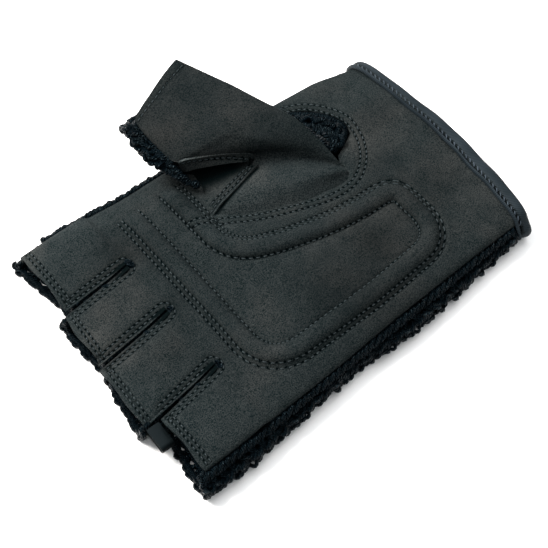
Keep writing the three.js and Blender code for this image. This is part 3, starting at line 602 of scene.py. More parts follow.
def leaf_point(along, cell):
    """Outer face of the folded leaf: a strip on the palm for cell 0 to 1, then a wall up to the thumb at 2.

    Its left end dips into the palm, the strip sinks between its raised edge and the fold, and the wall
    is hollowed under the thumb by a half sine up it and along it. Above the hollow it swells out in a bell
    curve, and its cut edge stands before the thumb's edge.
    """
    along, cell = np.broadcast_arrays(np.asarray(along, float), np.asarray(cell, float))
    over = np.clip(cell, 0, 1)
    plan = lerp(leaf_line("low", along), leaf_line("fold", along), over[..., None])
    lift = lerp(-0.9, 1.45, smoothstep(along, 0, 0.24)) - 1.1 * smoothstep(over, 0.25, 0.8)
    lift = lift + 0.35 * smoothstep(along, 0.1, 0.3) * (1 - smoothstep(over, 0, 0.14))
    rest = np.concatenate([plan, (palm_top(plan[..., 0], plan[..., 1]) + lift)[..., None]], -1)
    top = thumb_cloth(crotch("thumb_step", along), 0.0) + np.array([-0.15, -0.4, -SEAM_GAP])
    up = np.clip(cell - 1, 0, 1)
    ends = np.sin(np.pi * (0.2 + 0.8 * along)) ** 0.8
    hollow = LEAF_HOLLOW * np.sin(np.pi * np.clip(up / 0.6, 0, 1) ** 0.9) * ends
    middle = smoothstep(along, 0, 0.12) * (1 - smoothstep(along, 0.82, 1))
    band = 1.7 * bell(up - 0.6, 0.17) * middle
    climb = smoothstep(up, 0.6, 1) * (0.3 + 0.7 * middle)
    wall_point = lerp(rest, top, up[..., None]) + hollow[..., None] * np.array([0.12, 0.97, -0.1])
    wall_point = wall_point + band[..., None] * np.array([-0.2, -1.0, 0.0])
    return wall_point + climb[..., None] * np.array([0, 0, 1.35])


def polyline(points, step=0.5):
    """Points spaced evenly by step along a list of places in plan."""
    points = np.asarray(points, float)
    length = arc_length(points)
    count = max(int(round(length[-1] / step)), 2) + 1
    return read_line(np.linspace(0, length[-1], count), length, points)


def smooth_line(points, rounds=3):
    """A line with its corners cut: each round replaces a corner by places a quarter along its two sides."""
    points = np.asarray(points, float)
    for _ in range(rounds):
        near = 0.75 * points[:-1] + 0.25 * points[1:]
        far = 0.25 * points[:-1] + 0.75 * points[1:]
        middle = np.stack([near, far], 1).reshape(-1, points.shape[1])
        points = np.concatenate([points[:1], middle, points[-1:]])
    return points


def offset_line(points, distance):
    """A line in plan moved to its left by a distance."""
    heading = unit(np.gradient(points, axis=0))
    return points + distance * np.stack([-heading[:, 1], heading[:, 0]], -1)


def roll_line():
    """Middle of the padded roll: straight runs joined by quadratic and cubic curves, as in the frame."""
    t = np.linspace(0, 1, 24)[:, None]

    def quad(a, b, c):
        a, b, c = (np.array(p, float) for p in (a, b, c))
        return (1 - t) ** 2 * a + 2 * t * (1 - t) * b + t * t * c

    def cubic(a, b, c, d):
        a, b, c, d = (np.array(p, float) for p in (a, b, c, d))
        return (1 - t) ** 3 * a + 3 * t * (1 - t) ** 2 * b + 3 * t * t * (1 - t) * c + t ** 3 * d

    parts = [
        np.array([(-26, 48.5)], float),
        quad((-26, -15), (-26, -30.2), (-11, -30.3)),
        quad((18, -30.1), (30, -29.5), (42, -28.2)),
        quad((42, -28.2), (52.4, -26.8), (52.3, -16)),
        quad((52, -7), (51.8, -2.4), (45, -2.4)),
        cubic((45, -2.4), (30, -2.2), (14, 1.6), (2, 6.6)),
        quad((2, 6.6), (-9.4, 11.4), (-9.9, 22)),
        np.array([(-9.9, 48.5)], float),
    ]
    return polyline(smooth_line(polyline(np.concatenate(parts), 2.2)), 0.4)


def distance_to(line, x, y):
    """Signed distance in plan from places to a line, positive on its left, and the share along it."""
    shape = np.shape(x)
    p = np.stack([np.ravel(x), np.ravel(y)], -1)
    best = np.full(len(p), np.inf)
    signed = np.zeros(len(p))
    share = np.zeros(len(p))
    a, b = line[:-1], line[1:]
    run = b - a
    size = np.maximum((run ** 2).sum(1), 1e-9)
    for start in range(0, len(p), 4000):
        rel = p[start:start + 4000, None, :] - a[None]
        t = np.clip((rel * run).sum(-1) / size, 0, 1)
        gap = rel - t[..., None] * run
        d2 = (gap ** 2).sum(-1)
        k = d2.argmin(1)
        n = np.arange(len(k))
        cross = run[k, 0] * gap[n, k, 1] - run[k, 1] * gap[n, k, 0]
        best[start:start + 4000] = np.sqrt(d2[n, k])
        signed[start:start + 4000] = np.sign(cross + 1e-12) * np.sqrt(d2[n, k])
        share[start:start + 4000] = (k + t[n, k]) / len(a)
    return signed.reshape(shape), share.reshape(shape)


ROLL = roll_line()
THENAR = polyline(smooth_line(THENAR_SEAM, 4), 0.4)


def slit_middle(k, end):
    """Middle Y of the slit above finger k, at its tip or its root."""
    return (FINGERS[k][end][1] + FINGERS[k + 1][end][0]) / 2


def slit_line(k, distance):
    """A line round the slit above finger k, at a distance from it: along, round its root and back."""
    low, high = FINGERS[k], FINGERS[k + 1]
    start = np.array([max(low["end"][1], high["end"][0]) + 0.8, slit_middle(k, "tip")])
    root = np.array([CROTCH_X - 0.6, slit_middle(k, "root")])
    angle = np.linspace(-np.pi / 2, np.pi / 2, 9)
    turn = root + distance * np.stack([0.9 * np.cos(angle), np.sin(angle)], -1)
    side = np.array([0, distance])
    return polyline(np.concatenate([[start - side], turn, [start + side]]), 0.5)


def slit_side(k, distance):
    """A straight line beside the slit above finger k, from the finger end to the slit's root."""
    line = slit_line(k, abs(distance))
    place = np.array([CROTCH_X - 1.2, slit_middle(k, "root") + distance])
    return polyline([line[0] if distance < 0 else line[-1], place], 0.5)


def hem_line(k, inset):
    """A stitched line across finger k, parallel to its end."""
    finger = FINGERS[k]
    q = np.linspace(0.03, 0.97, 40)
    x = lerp(finger["end"][0], finger["end"][1], q) + inset
    along = (x - sum(finger["end"]) / 2) / (CROTCH_X - sum(finger["end"]) / 2)
    sides = [lerp(finger["tip"][s], finger["root"][s], along) for s in (0, 1)]
    return np.stack([x, lerp(sides[0], sides[1], q)], -1)


def palm_seams():
    """Stitched lines of the palm: the line that the rows follow, their distances from it and their depth."""
    seams = [(ROLL, (3.7, -3.4, -5.1), 0.55), (THENAR, (1.1, -1.1), 0.45)]
    seams += [(slit_line(k, 3.6), (0,), 0.3) for k in range(3)]
    seams += [(slit_side(k, distance), (0,), 0.3) for k in range(3) for distance in (-1.8, 1.8)]
    seams += [(hem_line(k, 2.5), (0.8, -0.8), 0.22) for k in range(4)]
    return seams


SEAMS = palm_seams()


def length_of(line):
    return np.linalg.norm(np.diff(line, axis=0), axis=1).sum()


def seam_marks(x, y):
    """Distance to the nearest row of stitches, the place along it in stitches, and the depth of its groove.

    The place along it grows a little across the row, so that the holes lie aslant.
    """
    near = np.full(np.shape(x), NO_ROW)
    phase = np.zeros(np.shape(x))
    groove = np.zeros(np.shape(x))
    for line, offsets, depth in SEAMS:
        d, share = distance_to(line, x, y)
        past_end = NO_ROW * ((share < 1e-4) | (share > 1 - 1e-4))
        for offset in offsets:
            gap = np.abs(d - offset) + past_end
            place = share * length_of(line) / STITCH_PITCH + STITCH_SLANT * np.clip(d - offset, -1, 1)
            phase = np.where(gap < near, place, phase)
            groove += depth * bell(gap, GROOVE_WIDTH)
            near = np.minimum(near, gap)
    return near, phase, groove


OPENING_EDGE = polyline(THUMB_OPENING + THUMB_OPENING[:1], 1.0)


def nap_and_painted_light(x, y):
    """How much lighter or darker the suede looks: painted light and shade, partly the nap's lie, as a sum of
    bell curves, and painted light on the finger ends.
    """
    tone = 0.22 * (1 - smoothstep(x, -68, -54))
    for cx, cy, wide, amount in NAP_AND_PAINTED_LIGHT:
        tone = tone + amount * np.exp(-((x - cx) ** 2 + (y - cy) ** 2) / wide ** 2)
    return tone


def relief(x, y):
    """Height above the plain palm: the padded roll, a groove at each stitched line and soft unevenness."""
    d, share = distance_to(ROLL, x, y)
    ends = smoothstep(share, -0.005, 0.03) * smoothstep(1 - share, -0.005, 0.03)
    body = np.clip(1 - (d / (ROLL_HALF_WIDTH + 0.3)) ** 2, 0, 1) ** 0.75
    h = ROLL_HEIGHT * body * ends
    h += 0.32 * ends * bell(d + 4.2, 0.8)
    inside = smoothstep(d, ROLL_HALF_WIDTH, ROLL_HALF_WIDTH + 6)
    h += 0.45 * inside * ends * (x > -24)
    h -= seam_marks(x, y)[2]
    for k in range(3):
        slit = lerp(slit_middle(k, "tip"), slit_middle(k, "root"), np.clip((x + 66) / 27, 0, 1))
        h -= 0.75 * bell(y - slit, 3.4) * (1 - smoothstep(x, -41, -33))
    rim, _ = distance_to(OPENING_EDGE, x, y)
    h -= 0.75 * (1 - smoothstep(np.abs(rim), 0, 2.2))
    h += 0.2 * np.sin(x / 7.3 + 0.6 * np.sin(y / 9.1)) * np.sin(y / 8.7 + 1.3)
    h += 0.3 * smoothstep(x, 48, 62) * np.sin((x + 0.7 * y) / 4.6 + np.sin(y / 11.0))
    h += 0.10 * np.sin(x / 3.9 + y / 5.2) * np.sin(y / 4.3 - x / 11)
    for cx, cy, wide, deep in DENTS:
        h -= deep * np.exp(-(((x - cx) / wide) ** 2 + ((y - cy) / (0.6 * wide)) ** 2))
    return h


def palm_surface(x, y):
    """Height of the finished palm over a place in plan."""
    return suede_height(x, y) + relief(x, y)


def inside_outline(outline, x, y):
    """Whether places lie inside a closed outline: odd counts of crossings to one side."""
    ox, oy = np.array(outline, float).T
    count = np.zeros(np.shape(x), int)
    for k in range(len(ox)):
        x1, y1, x2, y2 = ox[k - 1], oy[k - 1], ox[k], oy[k]
        straddle = (y1 > y) != (y2 > y)
        at = x1 + (y - y1) * (x2 - x1) / (y2 - y1 if y2 != y1 else 1e-9)
        count += straddle & (x < at)
    return count % 2 == 1


SHIFT = np.array([
    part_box("finger_tab")[0].x * 1000 - TAB["far_x"],
    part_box("finger_tab")[0].y * 1000 - TAB["fold_y"],
    0.0,
])


def add_piece(name, shape, materials, nodes=(), uv=None, marks=None, sharp=50):
    """Puts millimetre points and faces into a mesh object in the frame's metres, riding on the root.

    shape is points, faces and the number of faces before the cut rims, which get the last material. uv is
    the yarn's map, and marks are the distance to the nearest row of stitches, the place along it, the
    painted shade in folds, slits and grooves, and the lie of the nap with painted light and shade for each
    point, or the first few of these.
    """
    points, faces, before_rims = shape
    mesh = bpy.data.meshes.new(name)
    mesh.from_pydata(((np.asarray(points) + SHIFT) / 1000).tolist(), [], faces)
    for material in materials:
        mesh.materials.append(material)
    on_rim = np.arange(len(mesh.polygons)) >= before_rims
    mesh.polygons.foreach_set("material_index", np.where(on_rim, len(materials) - 1, 0))
    mesh.polygons.foreach_set("use_smooth", np.ones(len(mesh.polygons), bool))
    if uv is not None:
        layer = mesh.uv_layers.new(name="Yarn")
        layer.data.foreach_set("uv", np.asarray(uv, np.float32).ravel())
    if marks is not None:
        for label, values in zip(MARKS, marks):
            layer = mesh.attributes.new(label, "FLOAT", "POINT")
            layer.data.foreach_set("value", np.asarray(values, np.float32).ravel())
    mesh.validate()
    mesh.set_sharp_from_angle(angle=np.radians(sharp))
    piece = bpy.data.objects.new(name, mesh)
    bpy.context.scene.collection.objects.link(piece)
    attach(piece, "root")
    if nodes:
        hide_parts(*nodes)
    return piece


def marks_at(used, *marks):
    """The marks of a grid's points, for the points that a wall uses."""
    return [mark.ravel()[used] for mark in marks]


def wall(points, thick, keep=None, normals=None, ring=False):
    """A closed wall from a grid: its outer face, an inner face one wall below, and rims round what is kept.

    thick is a number. keep marks the cells that stay. The last row of a ring is followed by its first.
    Gives the shape for add_piece and the place in the grid of each of its points.
    """
    rows, columns = points.shape[:2]
    if normals is None:
        normals = grid_normals(points)
    if keep is None:
        keep = np.ones((rows if ring else rows - 1, columns - 1), bool)
    inner = points - normals * thick
    index = np.arange(rows * columns).reshape(rows, columns)
    if ring:
        index = np.concatenate([index, index[:1]])
    below = index + rows * columns
    a, b, c, d = index[:-1, :-1], index[1:, :-1], index[1:, 1:], index[:-1, 1:]
    e, f, g, h = below[:-1, :-1], below[1:, :-1], below[1:, 1:], below[:-1, 1:]
    around = np.pad(keep, 1)
    if ring:
        around[0, 1:-1], around[-1, 1:-1] = keep[-1], keep[0]
    faces = [
        np.stack([a, b, c, d], -1)[keep],
        np.stack([e, h, g, f], -1)[keep],
        np.stack([b, a, e, f], -1)[keep & ~around[1:-1, :-2]],
        np.stack([d, c, g, h], -1)[keep & ~around[1:-1, 2:]],
        np.stack([a, d, h, e], -1)[keep & ~around[:-2, 1:-1]],
        np.stack([c, b, f, g], -1)[keep & ~around[2:, 1:-1]],
    ]
    every = np.concatenate([points.reshape(-1, 3), inner.reshape(-1, 3)])
    faces = np.concatenate(faces)
    used, place = np.unique(faces, return_inverse=True)
    shape = every[used], place.reshape(faces.shape).tolist(), 2 * int(keep.sum())
    return shape, used % (rows * columns)


def tubes(paths, normals, radius, sides=6):
    """Threads: a ring of points carried along each path, with flat ends.

    paths and normals are arrays of threads, places and XYZ. radius is a number or one for each place.
    The map holds the millimetres along the thread and the share of the way round it.
    """
    threads, places = paths.shape[:2]
    heading = unit(np.gradient(paths, axis=1))
    side = unit(np.cross(heading, normals))
    up = np.cross(side, heading)
    angle = np.linspace(0, 2 * np.pi, sides, endpoint=False)
    radius = np.broadcast_to(radius, (threads, places))[..., None, None]
    beside = np.cross(heading, up)
    ring = np.cos(angle)[:, None] * up[:, :, None] + np.sin(angle)[:, None] * beside[:, :, None]
    points = (paths[:, :, None] + ring * radius).reshape(-1, 3)
    index = np.arange(threads * places * sides).reshape(threads, places, sides)
    after = np.roll(index, -1, axis=2)
    quads = np.stack([index[:, :-1], after[:, :-1], after[:, 1:], index[:, 1:]], -1).reshape(-1, 4)
    steps = np.linalg.norm(np.diff(paths, axis=1), axis=2)
    length = np.concatenate([np.zeros((threads, 1)), np.cumsum(steps, 1)], 1)
    turn = np.arange(sides) / sides
    u0, u1 = length[:, :-1, None], length[:, 1:, None]
    full = (threads, places - 1, sides)
    corners = [
        np.stack([np.broadcast_to(u, full), np.broadcast_to(v, full)], -1)
        for u, v in ((u0, turn), (u0, turn + 1 / sides), (u1, turn + 1 / sides), (u1, turn))
    ]
    uv = np.stack(corners, 3).reshape(-1, 2)
    ends = np.concatenate([index[:, 0, ::-1], index[:, -1]])
    faces = quads.tolist() + ends.tolist()
    end_uv = np.zeros((len(ends) * sides, 2))
    return points, faces, np.concatenate([uv, end_uv])


def join(parts):
    """Several lots of points, faces and map corners as one shape for add_piece, and its map."""
    points, faces, maps = [], [], []
    offset = 0
    for p, f, m in parts:
        points.append(p)
        faces.extend([[i + offset for i in face] for face in f])
        maps.append(m)
        offset += len(p)
    return (np.concatenate(points), faces, len(faces)), np.concatenate(maps)


def twisted(line, normals, radius, pitch, spread):
    """Two strands round a line in space: each swings to both sides and up and down once every pitch."""
    at = arc_length(line)
    where = np.linspace(0, at[-1], int(at[-1] / 0.75) + 2)
    middle = read_line(where, at, line)
    up = unit(read_line(where, at, normals))
    side = unit(np.cross(np.gradient(middle, axis=0), up))
    turn = 2 * np.pi * where / pitch + 0.9 * np.sin(where / 3.7) + 0.7 * np.sin(where / 1.9 + 1.0)
    paths = []
    for start in (0, np.pi):
        swing = spread * np.cos(turn + start)
        rise = 0.7 * spread * np.sin(turn + start)
        paths.append(middle + side * swing[:, None] + up * rise[:, None])
    width = radius * (1 + 0.14 * np.sin(2 * turn + 1.0) + 0.1 * np.sin(where / 2.7))
    return tubes(np.stack(paths), np.stack([up, up]), np.stack([width, width]), 6)


def loops(line, outward, radius, pitch, reach, lot=0):
    """Loops of yarn side by side along a line in space, each an arch that leans over the next.

    A loop covers a pitch and a third of the line. It swings out by a half sine of its reach, and from one
    side of the line to the other by a half cosine. Sizes differ, and no loop dips below the floor.
    """
    at = arc_length(line)
    k = np.arange(int(at[-1] / pitch))
    t = np.linspace(0, 1, 8)
    where = (k[:, None] + 0.5 + 1.35 * (t - 0.5)[None] + 0.34 * uneven(k, lot, 3)[:, None]) * pitch
    path = read_line(where, at, line)
    out = unit(read_line(where, at, outward))
    side = unit(np.cross(np.gradient(path, axis=1), out))
    size = 1 + 0.4 * uneven(k, lot, 1)[:, None] + 0.35 * np.sin(k * pitch + 2.0 * lot)[:, None]
    size = np.clip(size, 0.3, 1.35)
    swing = reach * size * np.sin(np.pi * t) ** 0.8 - 0.4 * radius
    lean = 0.85 * np.sign(uneven(k, lot, 5) + 0.4)[:, None]
    sway = radius * (lean * np.cos(np.pi * t) + 0.9 * uneven(k, lot, 2)[:, None] * np.sin(np.pi * t))
    path = path + out * swing[..., None] + side * sway[..., None]
    thick = radius * (0.88 + 0.2 * np.sin(np.pi * t) + 0.14 * uneven(k, lot, 4)[:, None])
    path[..., 2] = np.maximum(path[..., 2], thick + 0.05)
    return tubes(path, out, thick, 6)


def stitch_paths(line, normals):
    """Stitches along a line in space: each one dives at both ends and lies on the cloth between."""
    at = arc_length(line)
    count = int(at[-1] / STITCH_PITCH)
    longest = max(at[-1], count * STITCH_PITCH)
    where = (np.arange(count)[:, None] + STITCH_SHARE) * STITCH_PITCH * at[-1] / longest
    up = unit(read_line(where, at, normals))
    return read_line(where, at, line) + up * STITCH_HEIGHT[:, None], up


def seam_stitches(line, offset):
    """Stitches of one row beside a line in plan, in step with the row's marks on the palm."""
    row = offset_line(line, offset)
    at = np.linspace(0, length_of(line), len(line))
    count = int(at[-1] / STITCH_PITCH)
    where = (np.arange(count)[:, None] + STITCH_SHARE) * STITCH_PITCH
    plan = read_line(where, at, row)
    path, up = on_palm(plan.reshape(-1, 2))
    path, up = path.reshape(*where.shape, 3), up.reshape(*where.shape, 3)
    return path + up * STITCH_HEIGHT[:, None], up


def on_palm(line):
    """A line in plan laid on the finished palm, with the palm's normals."""
    x, y = line.T
    step = 0.3
    z = palm_surface(x, y)
    slope_x = (palm_surface(x + step, y) - palm_surface(x - step, y)) / (2 * step)
    slope_y = (palm_surface(x, y + step) - palm_surface(x, y - step)) / (2 * step)
    return np.stack([x, y, z], -1), unit(np.stack([-slope_x, -slope_y, np.ones(len(x))], -1))


def new_group(name, inputs, outputs):
    """An empty node group with named sockets: (name, kind, default) in, (name, kind) out."""
    group = bpy.data.node_groups.new(name, "ShaderNodeTree")
    for label, kind, value in inputs:
        socket = group.interface.new_socket(label, in_out="INPUT", socket_type=kind)
        socket.default_value = value
    for label, kind in outputs:
        group.interface.new_socket(label, in_out="OUTPUT", socket_type=kind)
    return group, group.nodes.new("NodeGroupInput"), group.nodes.new("NodeGroupOutput")


def math_node(tree, operation, a, b=None):
    node = tree.nodes.new("ShaderNodeMath")
    node.operation = operation
    for k, value in enumerate((a, b)):
        if value is None:
            continue
        if isinstance(value, (int, float)):
            node.inputs[k].default_value = value
        else:
            tree.links.new(value, node.inputs[k])
    return node.outputs[0]


def noise_node(tree, vector, scale, detail=2.0, roughness=0.5):
    node = tree.nodes.new("ShaderNodeTexNoise")
    node.inputs["Detail"].default_value = detail
    node.inputs["Roughness"].default_value = roughness
    tree.links.new(vector, node.inputs["Vector"])
    if isinstance(scale, (int, float)):
        node.inputs["Scale"].default_value = scale
    else:
        tree.links.new(scale, node.inputs["Scale"])
    return node.outputs["Fac"]


def mix_node(tree, factor, a, b):
    """A colour between two others by a factor; the second may be a fixed colour."""
    node = tree.nodes.new("ShaderNodeMix")
    node.data_type = "RGBA"
    tree.links.new(factor, node.inputs["Factor"])
    tree.links.new(a, node.inputs["A"])
    if isinstance(b, tuple):
        node.inputs["B"].default_value = b
    else:
        tree.links.new(b, node.inputs["B"])
    return node.outputs["Result"]


def nap_group():
    """Short nap of suede: fine speckle, brushed patches and broad unevenness, as a colour and a height."""
    group, given, result = new_group(
        "Suede Nap",
        [("Dark", COLOUR, (0.02, 0.02, 0.02, 1)), ("Light", COLOUR, (0.04, 0.04, 0.04, 1)),
         ("Brushed", COLOUR, (0.05, 0.05, 0.05, 1)), ("Grain", NUMBER, 1900.0), ("Patches", NUMBER, 0.35)],
        [("Color", COLOUR), ("Height", NUMBER)],
    )
    coordinates = group.nodes.new("ShaderNodeTexCoord").outputs["Object"]
    fine = noise_node(group, coordinates, given.outputs["Grain"], 3.0, 0.7)
    brushed = noise_node(group, coordinates, 230.0, 3.0, 0.6)
    broad = noise_node(group, coordinates, 38.0, 2.0, 0.5)
    cloudy = math_node(group, "SUBTRACT", math_node(group, "ADD", brushed, broad), 1.0)
    patch = math_node(group, "MULTIPLY", cloudy, given.outputs["Patches"])
    sharp = math_node(group, "MULTIPLY", math_node(group, "SUBTRACT", fine, 0.5), 4.2)
    share = math_node(group, "ADD", math_node(group, "ADD", sharp, 0.5), patch)
    raised = math_node(group, "MULTIPLY", math_node(group, "SUBTRACT", broad, 0.5), 3.2)
    raised.node.use_clamp = True
    ends = mix_node(group, raised, given.outputs["Light"], given.outputs["Brushed"])
    group.links.new(mix_node(group, share, given.outputs["Dark"], ends), result.inputs["Color"])
    group.links.new(math_node(group, "ADD", fine, brushed), result.inputs["Height"])
    return group


def ply_group():
    """Twisted plies of a yarn: slanted ridges along the thread's own map, with loose fibres over them."""
    group, given, result = new_group(
        "Yarn Plies",
        [("Dark", COLOUR, (0.004, 0.004, 0.006, 1)), ("Light", COLOUR, (0.02, 0.02, 0.03, 1)),
         ("Twist", NUMBER, 1.7)],
        [("Color", COLOUR), ("Height", NUMBER)],
    )
    coordinates = group.nodes.new("ShaderNodeTexCoord")
    split = group.nodes.new("ShaderNodeSeparateXYZ")
    group.links.new(coordinates.outputs["UV"], split.inputs[0])
    along = math_node(group, "DIVIDE", split.outputs["X"], given.outputs["Twist"])
    turn = math_node(group, "ADD", along, math_node(group, "MULTIPLY", split.outputs["Y"], 3.0))
    wave = math_node(group, "SINE", math_node(group, "MULTIPLY", turn, FULL_TURN))
    ridge = math_node(group, "ADD", math_node(group, "MULTIPLY", wave, 0.5), 0.5)
    fibres = noise_node(group, coordinates.outputs["Object"], 2600.0, 2.0, 0.6)
    tone = noise_node(group, coordinates.outputs["Object"], 160.0, 1.0, 0.5)
    # Partly painted light: on the yarn and the threads the Light colour on the ply ridges stands for glints
    # and the Dark between them for shade; the fibre and tone noise varies at random
    lit = math_node(group, "ADD", ridge, fibres)
    share = math_node(group, "MULTIPLY", lit, math_node(group, "MULTIPLY", tone, 0.9))
    mixed = mix_node(group, share, given.outputs["Dark"], given.outputs["Light"])
    group.links.new(mixed, result.inputs["Color"])
    height = math_node(group, "ADD", ridge, math_node(group, "MULTIPLY", fibres, 0.7))
    group.links.new(height, result.inputs["Height"])
    return group


def row_group():
    """Rows of stitches: a hole between each two and their groove, whose darkness is painted shade, and the
    marks of painted shade and of the nap's lie with painted light and shade.
    """
    group, given, result = new_group(
        "Stitched Row", [("Pitch", NUMBER, STITCH_PITCH)],
        [(label, NUMBER) for label in ("Hole", "Groove", "Fold", "Tone")],
    )
    read = {}
    for label in MARKS:
        node = group.nodes.new("ShaderNodeAttribute")
        node.attribute_name = label
        read[label] = node.outputs["Fac"]
    away = math_node(group, "PINGPONG", read["along_row"], 0.5)
    away = math_node(group, "MULTIPLY", away, given.outputs["Pitch"])
    along = math_node(group, "POWER", math_node(group, "DIVIDE", away, HOLE_LENGTH), 2.0)
    across = math_node(group, "POWER", math_node(group, "DIVIDE", read["near_row"], HOLE_WIDTH), 2.0)
    squares = math_node(group, "ADD", along, across)

    def soft_step(value, low, high):
        node = group.nodes.new("ShaderNodeMapRange")
        node.interpolation_type = "SMOOTHSTEP"
        group.links.new(value, node.inputs["Value"])
        for label, number in (("From Min", low), ("From Max", high), ("To Min", 1.0), ("To Max", 0.0)):
            node.inputs[label].default_value = number
        return node.outputs["Result"]

    group.links.new(soft_step(squares, 0.3, 1.35), result.inputs["Hole"])
    group.links.new(read["painted_shade"], result.inputs["Fold"])
    # Painted light and shade with the nap's lie, as a factor on the colour
    group.links.new(math_node(group, "ADD", read["nap_and_painted_light"], 1.0), result.inputs["Tone"])
    group.links.new(soft_step(read["near_row"], 0.15, 1.0), result.inputs["Groove"])
    return group


def cloth_material(name, group, values, bump, roughness, shine, specular, rows=False):
    """A Principled cloth whose colour and relief come from a node group, with its stitched rows' marks,
    which paint light and shade into the colour.

    values holds the group's inputs, bump the relief's strength and its height in metres.
    """
    known = bpy.data.materials.get(name)
    if known:
        return known
    material = bpy.data.materials.new(name)
    material.use_nodes = True
    tree = material.node_tree
    shader = tree.nodes["Principled BSDF"]
    shader.inputs["Roughness"].default_value = roughness
    shader.inputs["Specular IOR Level"].default_value = specular
    shader.inputs["Specular Tint"].default_value = shine
    pattern = tree.nodes.new("ShaderNodeGroup")
    pattern.node_tree = group
    for label, value in values.items():
        pattern.inputs[label].default_value = value
    colour, height = pattern.outputs["Color"], pattern.outputs["Height"]
    if rows:
        stitched = tree.nodes.new("ShaderNodeGroup")
        stitched.node_tree = shared_group("Stitched Row", row_group)
        hole, groove = stitched.outputs["Hole"], stitched.outputs["Groove"]
        # Painted light and shade: the colour is scaled by the tone mark
        toned = tree.nodes.new("ShaderNodeVectorMath")
        toned.operation = "SCALE"
        tree.links.new(colour, toned.inputs[0])
        tree.links.new(stitched.outputs["Tone"], toned.inputs["Scale"])
        colour = toned.outputs["Vector"]
        # Painted shade: stitch holes, their grooves and the painted shade mark darken the colour towards
        # near black
        in_hole = math_node(tree, "MULTIPLY", hole, 0.97)
        shade = math_node(tree, "ADD", in_hole, math_node(tree, "MULTIPLY", groove, 0.34))
        shade = math_node(tree, "ADD", shade, stitched.outputs["Fold"])
        shade.node.use_clamp = True
        colour = mix_node(tree, shade, colour, (0.0001, 0.0008, 0.0009, 1))
        height = math_node(tree, "SUBTRACT", height, math_node(tree, "MULTIPLY", hole, 1.6))
    relief_node = tree.nodes.new("ShaderNodeBump")
    relief_node.inputs["Strength"].default_value = bump[0]
    relief_node.inputs["Distance"].default_value = bump[1]
    tree.links.new(colour, shader.inputs["Base Color"])
    tree.links.new(height, relief_node.inputs["Height"])
    tree.links.new(relief_node.outputs["Normal"], shader.inputs["Normal"])
    return material


def shared_group(name, maker):
    """A node group by its name, made where it isn't there yet."""
    return bpy.data.node_groups.get(name) or maker()


def tints(dark, light, **more):
    """Inputs of a pattern: its dark and its light colour, and the rest by name."""
    return {"Dark": (*dark, 1), "Light": (*light, 1), **more}


def suede_materials():
    """The nap of the suede, and the paler cut of its rims."""
    glove = bpy.context.scene.glove_suede
    group = shared_group("Suede Nap", nap_group)
    nap = cloth_material(
        "Black Suede", group,
        tints(glove.dark, glove.light, Brushed=(*glove.brushed, 1), Grain=glove.grain, Patches=0.6),
        (0.8, 0.0003), 0.95, SUEDE_SHEEN, 0.04, rows=True,
    )
    cut = cloth_material(
        "Cut Suede Edge", group,
        tints((0.004, 0.005, 0.005), (0.024, 0.026, 0.026),
              Brushed=(0.032, 0.031, 0.029, 1), Grain=2000.0, Patches=0.6),
        (0.5, 0.00015), 0.95, SUEDE_SHEEN, 0.04,
    )
    return [nap, cut]


# The Light colour on the yarn's plies is partly a painted glint
def yarn_material():
    glove = bpy.context.scene.glove_yarn
    return cloth_material(
        "Black Crochet Yarn", shared_group("Yarn Plies", ply_group),
        tints(glove.dark, glove.light, Twist=glove.twist),
        (1.0, 0.0005), 0.28, (0.55, 0.85, 1.0, 1), 0.085,
    )


def ground_material():
    return cloth_material(
        "Crochet Ground", shared_group("Suede Nap", nap_group),
        tints((0.0003, 0.0003, 0.0005), (0.001, 0.001, 0.0016),
              Brushed=(0.001, 0.001, 0.0016, 1), Grain=1500.0, Patches=0.3),
        (0.3, 0.0002), 0.95, (0.5, 0.9, 1.0, 1), 0.02,
    )


# The Light colour on the thread's plies is partly a painted glint
def thread_material():
    return cloth_material(
        "Black Sewing Thread", shared_group("Yarn Plies", ply_group),
        tints((0.002, 0.004, 0.0045), (0.026, 0.031, 0.032), Twist=0.5),
        (0.4, 0.0001), 0.45, (0.7, 0.9, 1.0, 1), 0.25,
    )


# Painted highlights: the binding's stitches are coloured lighter than the other thread to stand for their
# glints
def binding_thread_material():
    return cloth_material(
        "Binding Thread", shared_group("Yarn Plies", ply_group),
        tints((0.006, 0.009, 0.012), (0.050, 0.060, 0.074), Twist=0.5),
        (0.4, 0.0001), 0.5, (0.6, 0.85, 1.0, 1), 0.25,
    )


def satin_material():
    glove = bpy.context.scene.glove_satin
    return cloth_material(
        "Black Satin Tape", shared_group("Yarn Plies", ply_group),
        tints(glove.dark, glove.light, Twist=glove.rib),
        (0.5, 0.00014), 0.5, (0.72, 0.9, 1.0, 1), 0.1, rows=True,
    )


def colour_property(name, description, default):
    return bpy.props.FloatVectorProperty(
        name=name, description=description, subtype="COLOR", default=default)


class GloveSuede(bpy.types.PropertyGroup):
    """Sizes and colours of the suede."""

    thickness: bpy.props.FloatProperty(
        name="Thickness", description="Thickness of the suede", default=0.0013, unit="LENGTH")
    dark: colour_property("Dark", "Colour between the fibres", (0.0014, 0.0032, 0.0036))
    light: colour_property("Light", "Colour of the fibre ends", (0.0192, 0.0222, 0.0224))
    brushed: colour_property("Brushed", "Colour where the nap is brushed up", (0.0325, 0.0325, 0.0310))
    grain: bpy.props.FloatProperty(
        name="Grain", description="Speckles to the metre", default=2500.0)


class GloveYarn(bpy.types.PropertyGroup):
    """Sizes and colours of the crochet yarn."""

    radius: bpy.props.FloatProperty(
        name="Radius", description="Radius of the yarn", default=0.00108, unit="LENGTH")
    dark: colour_property("Dark", "Colour between the plies", (0.0001, 0.0003, 0.0005))
    light: colour_property("Light", "Colour on the plies", (0.0011, 0.0034, 0.0054))
    twist: bpy.props.FloatProperty(
        name="Ply", description="Millimetres of yarn from one ply to the next", default=0.85)


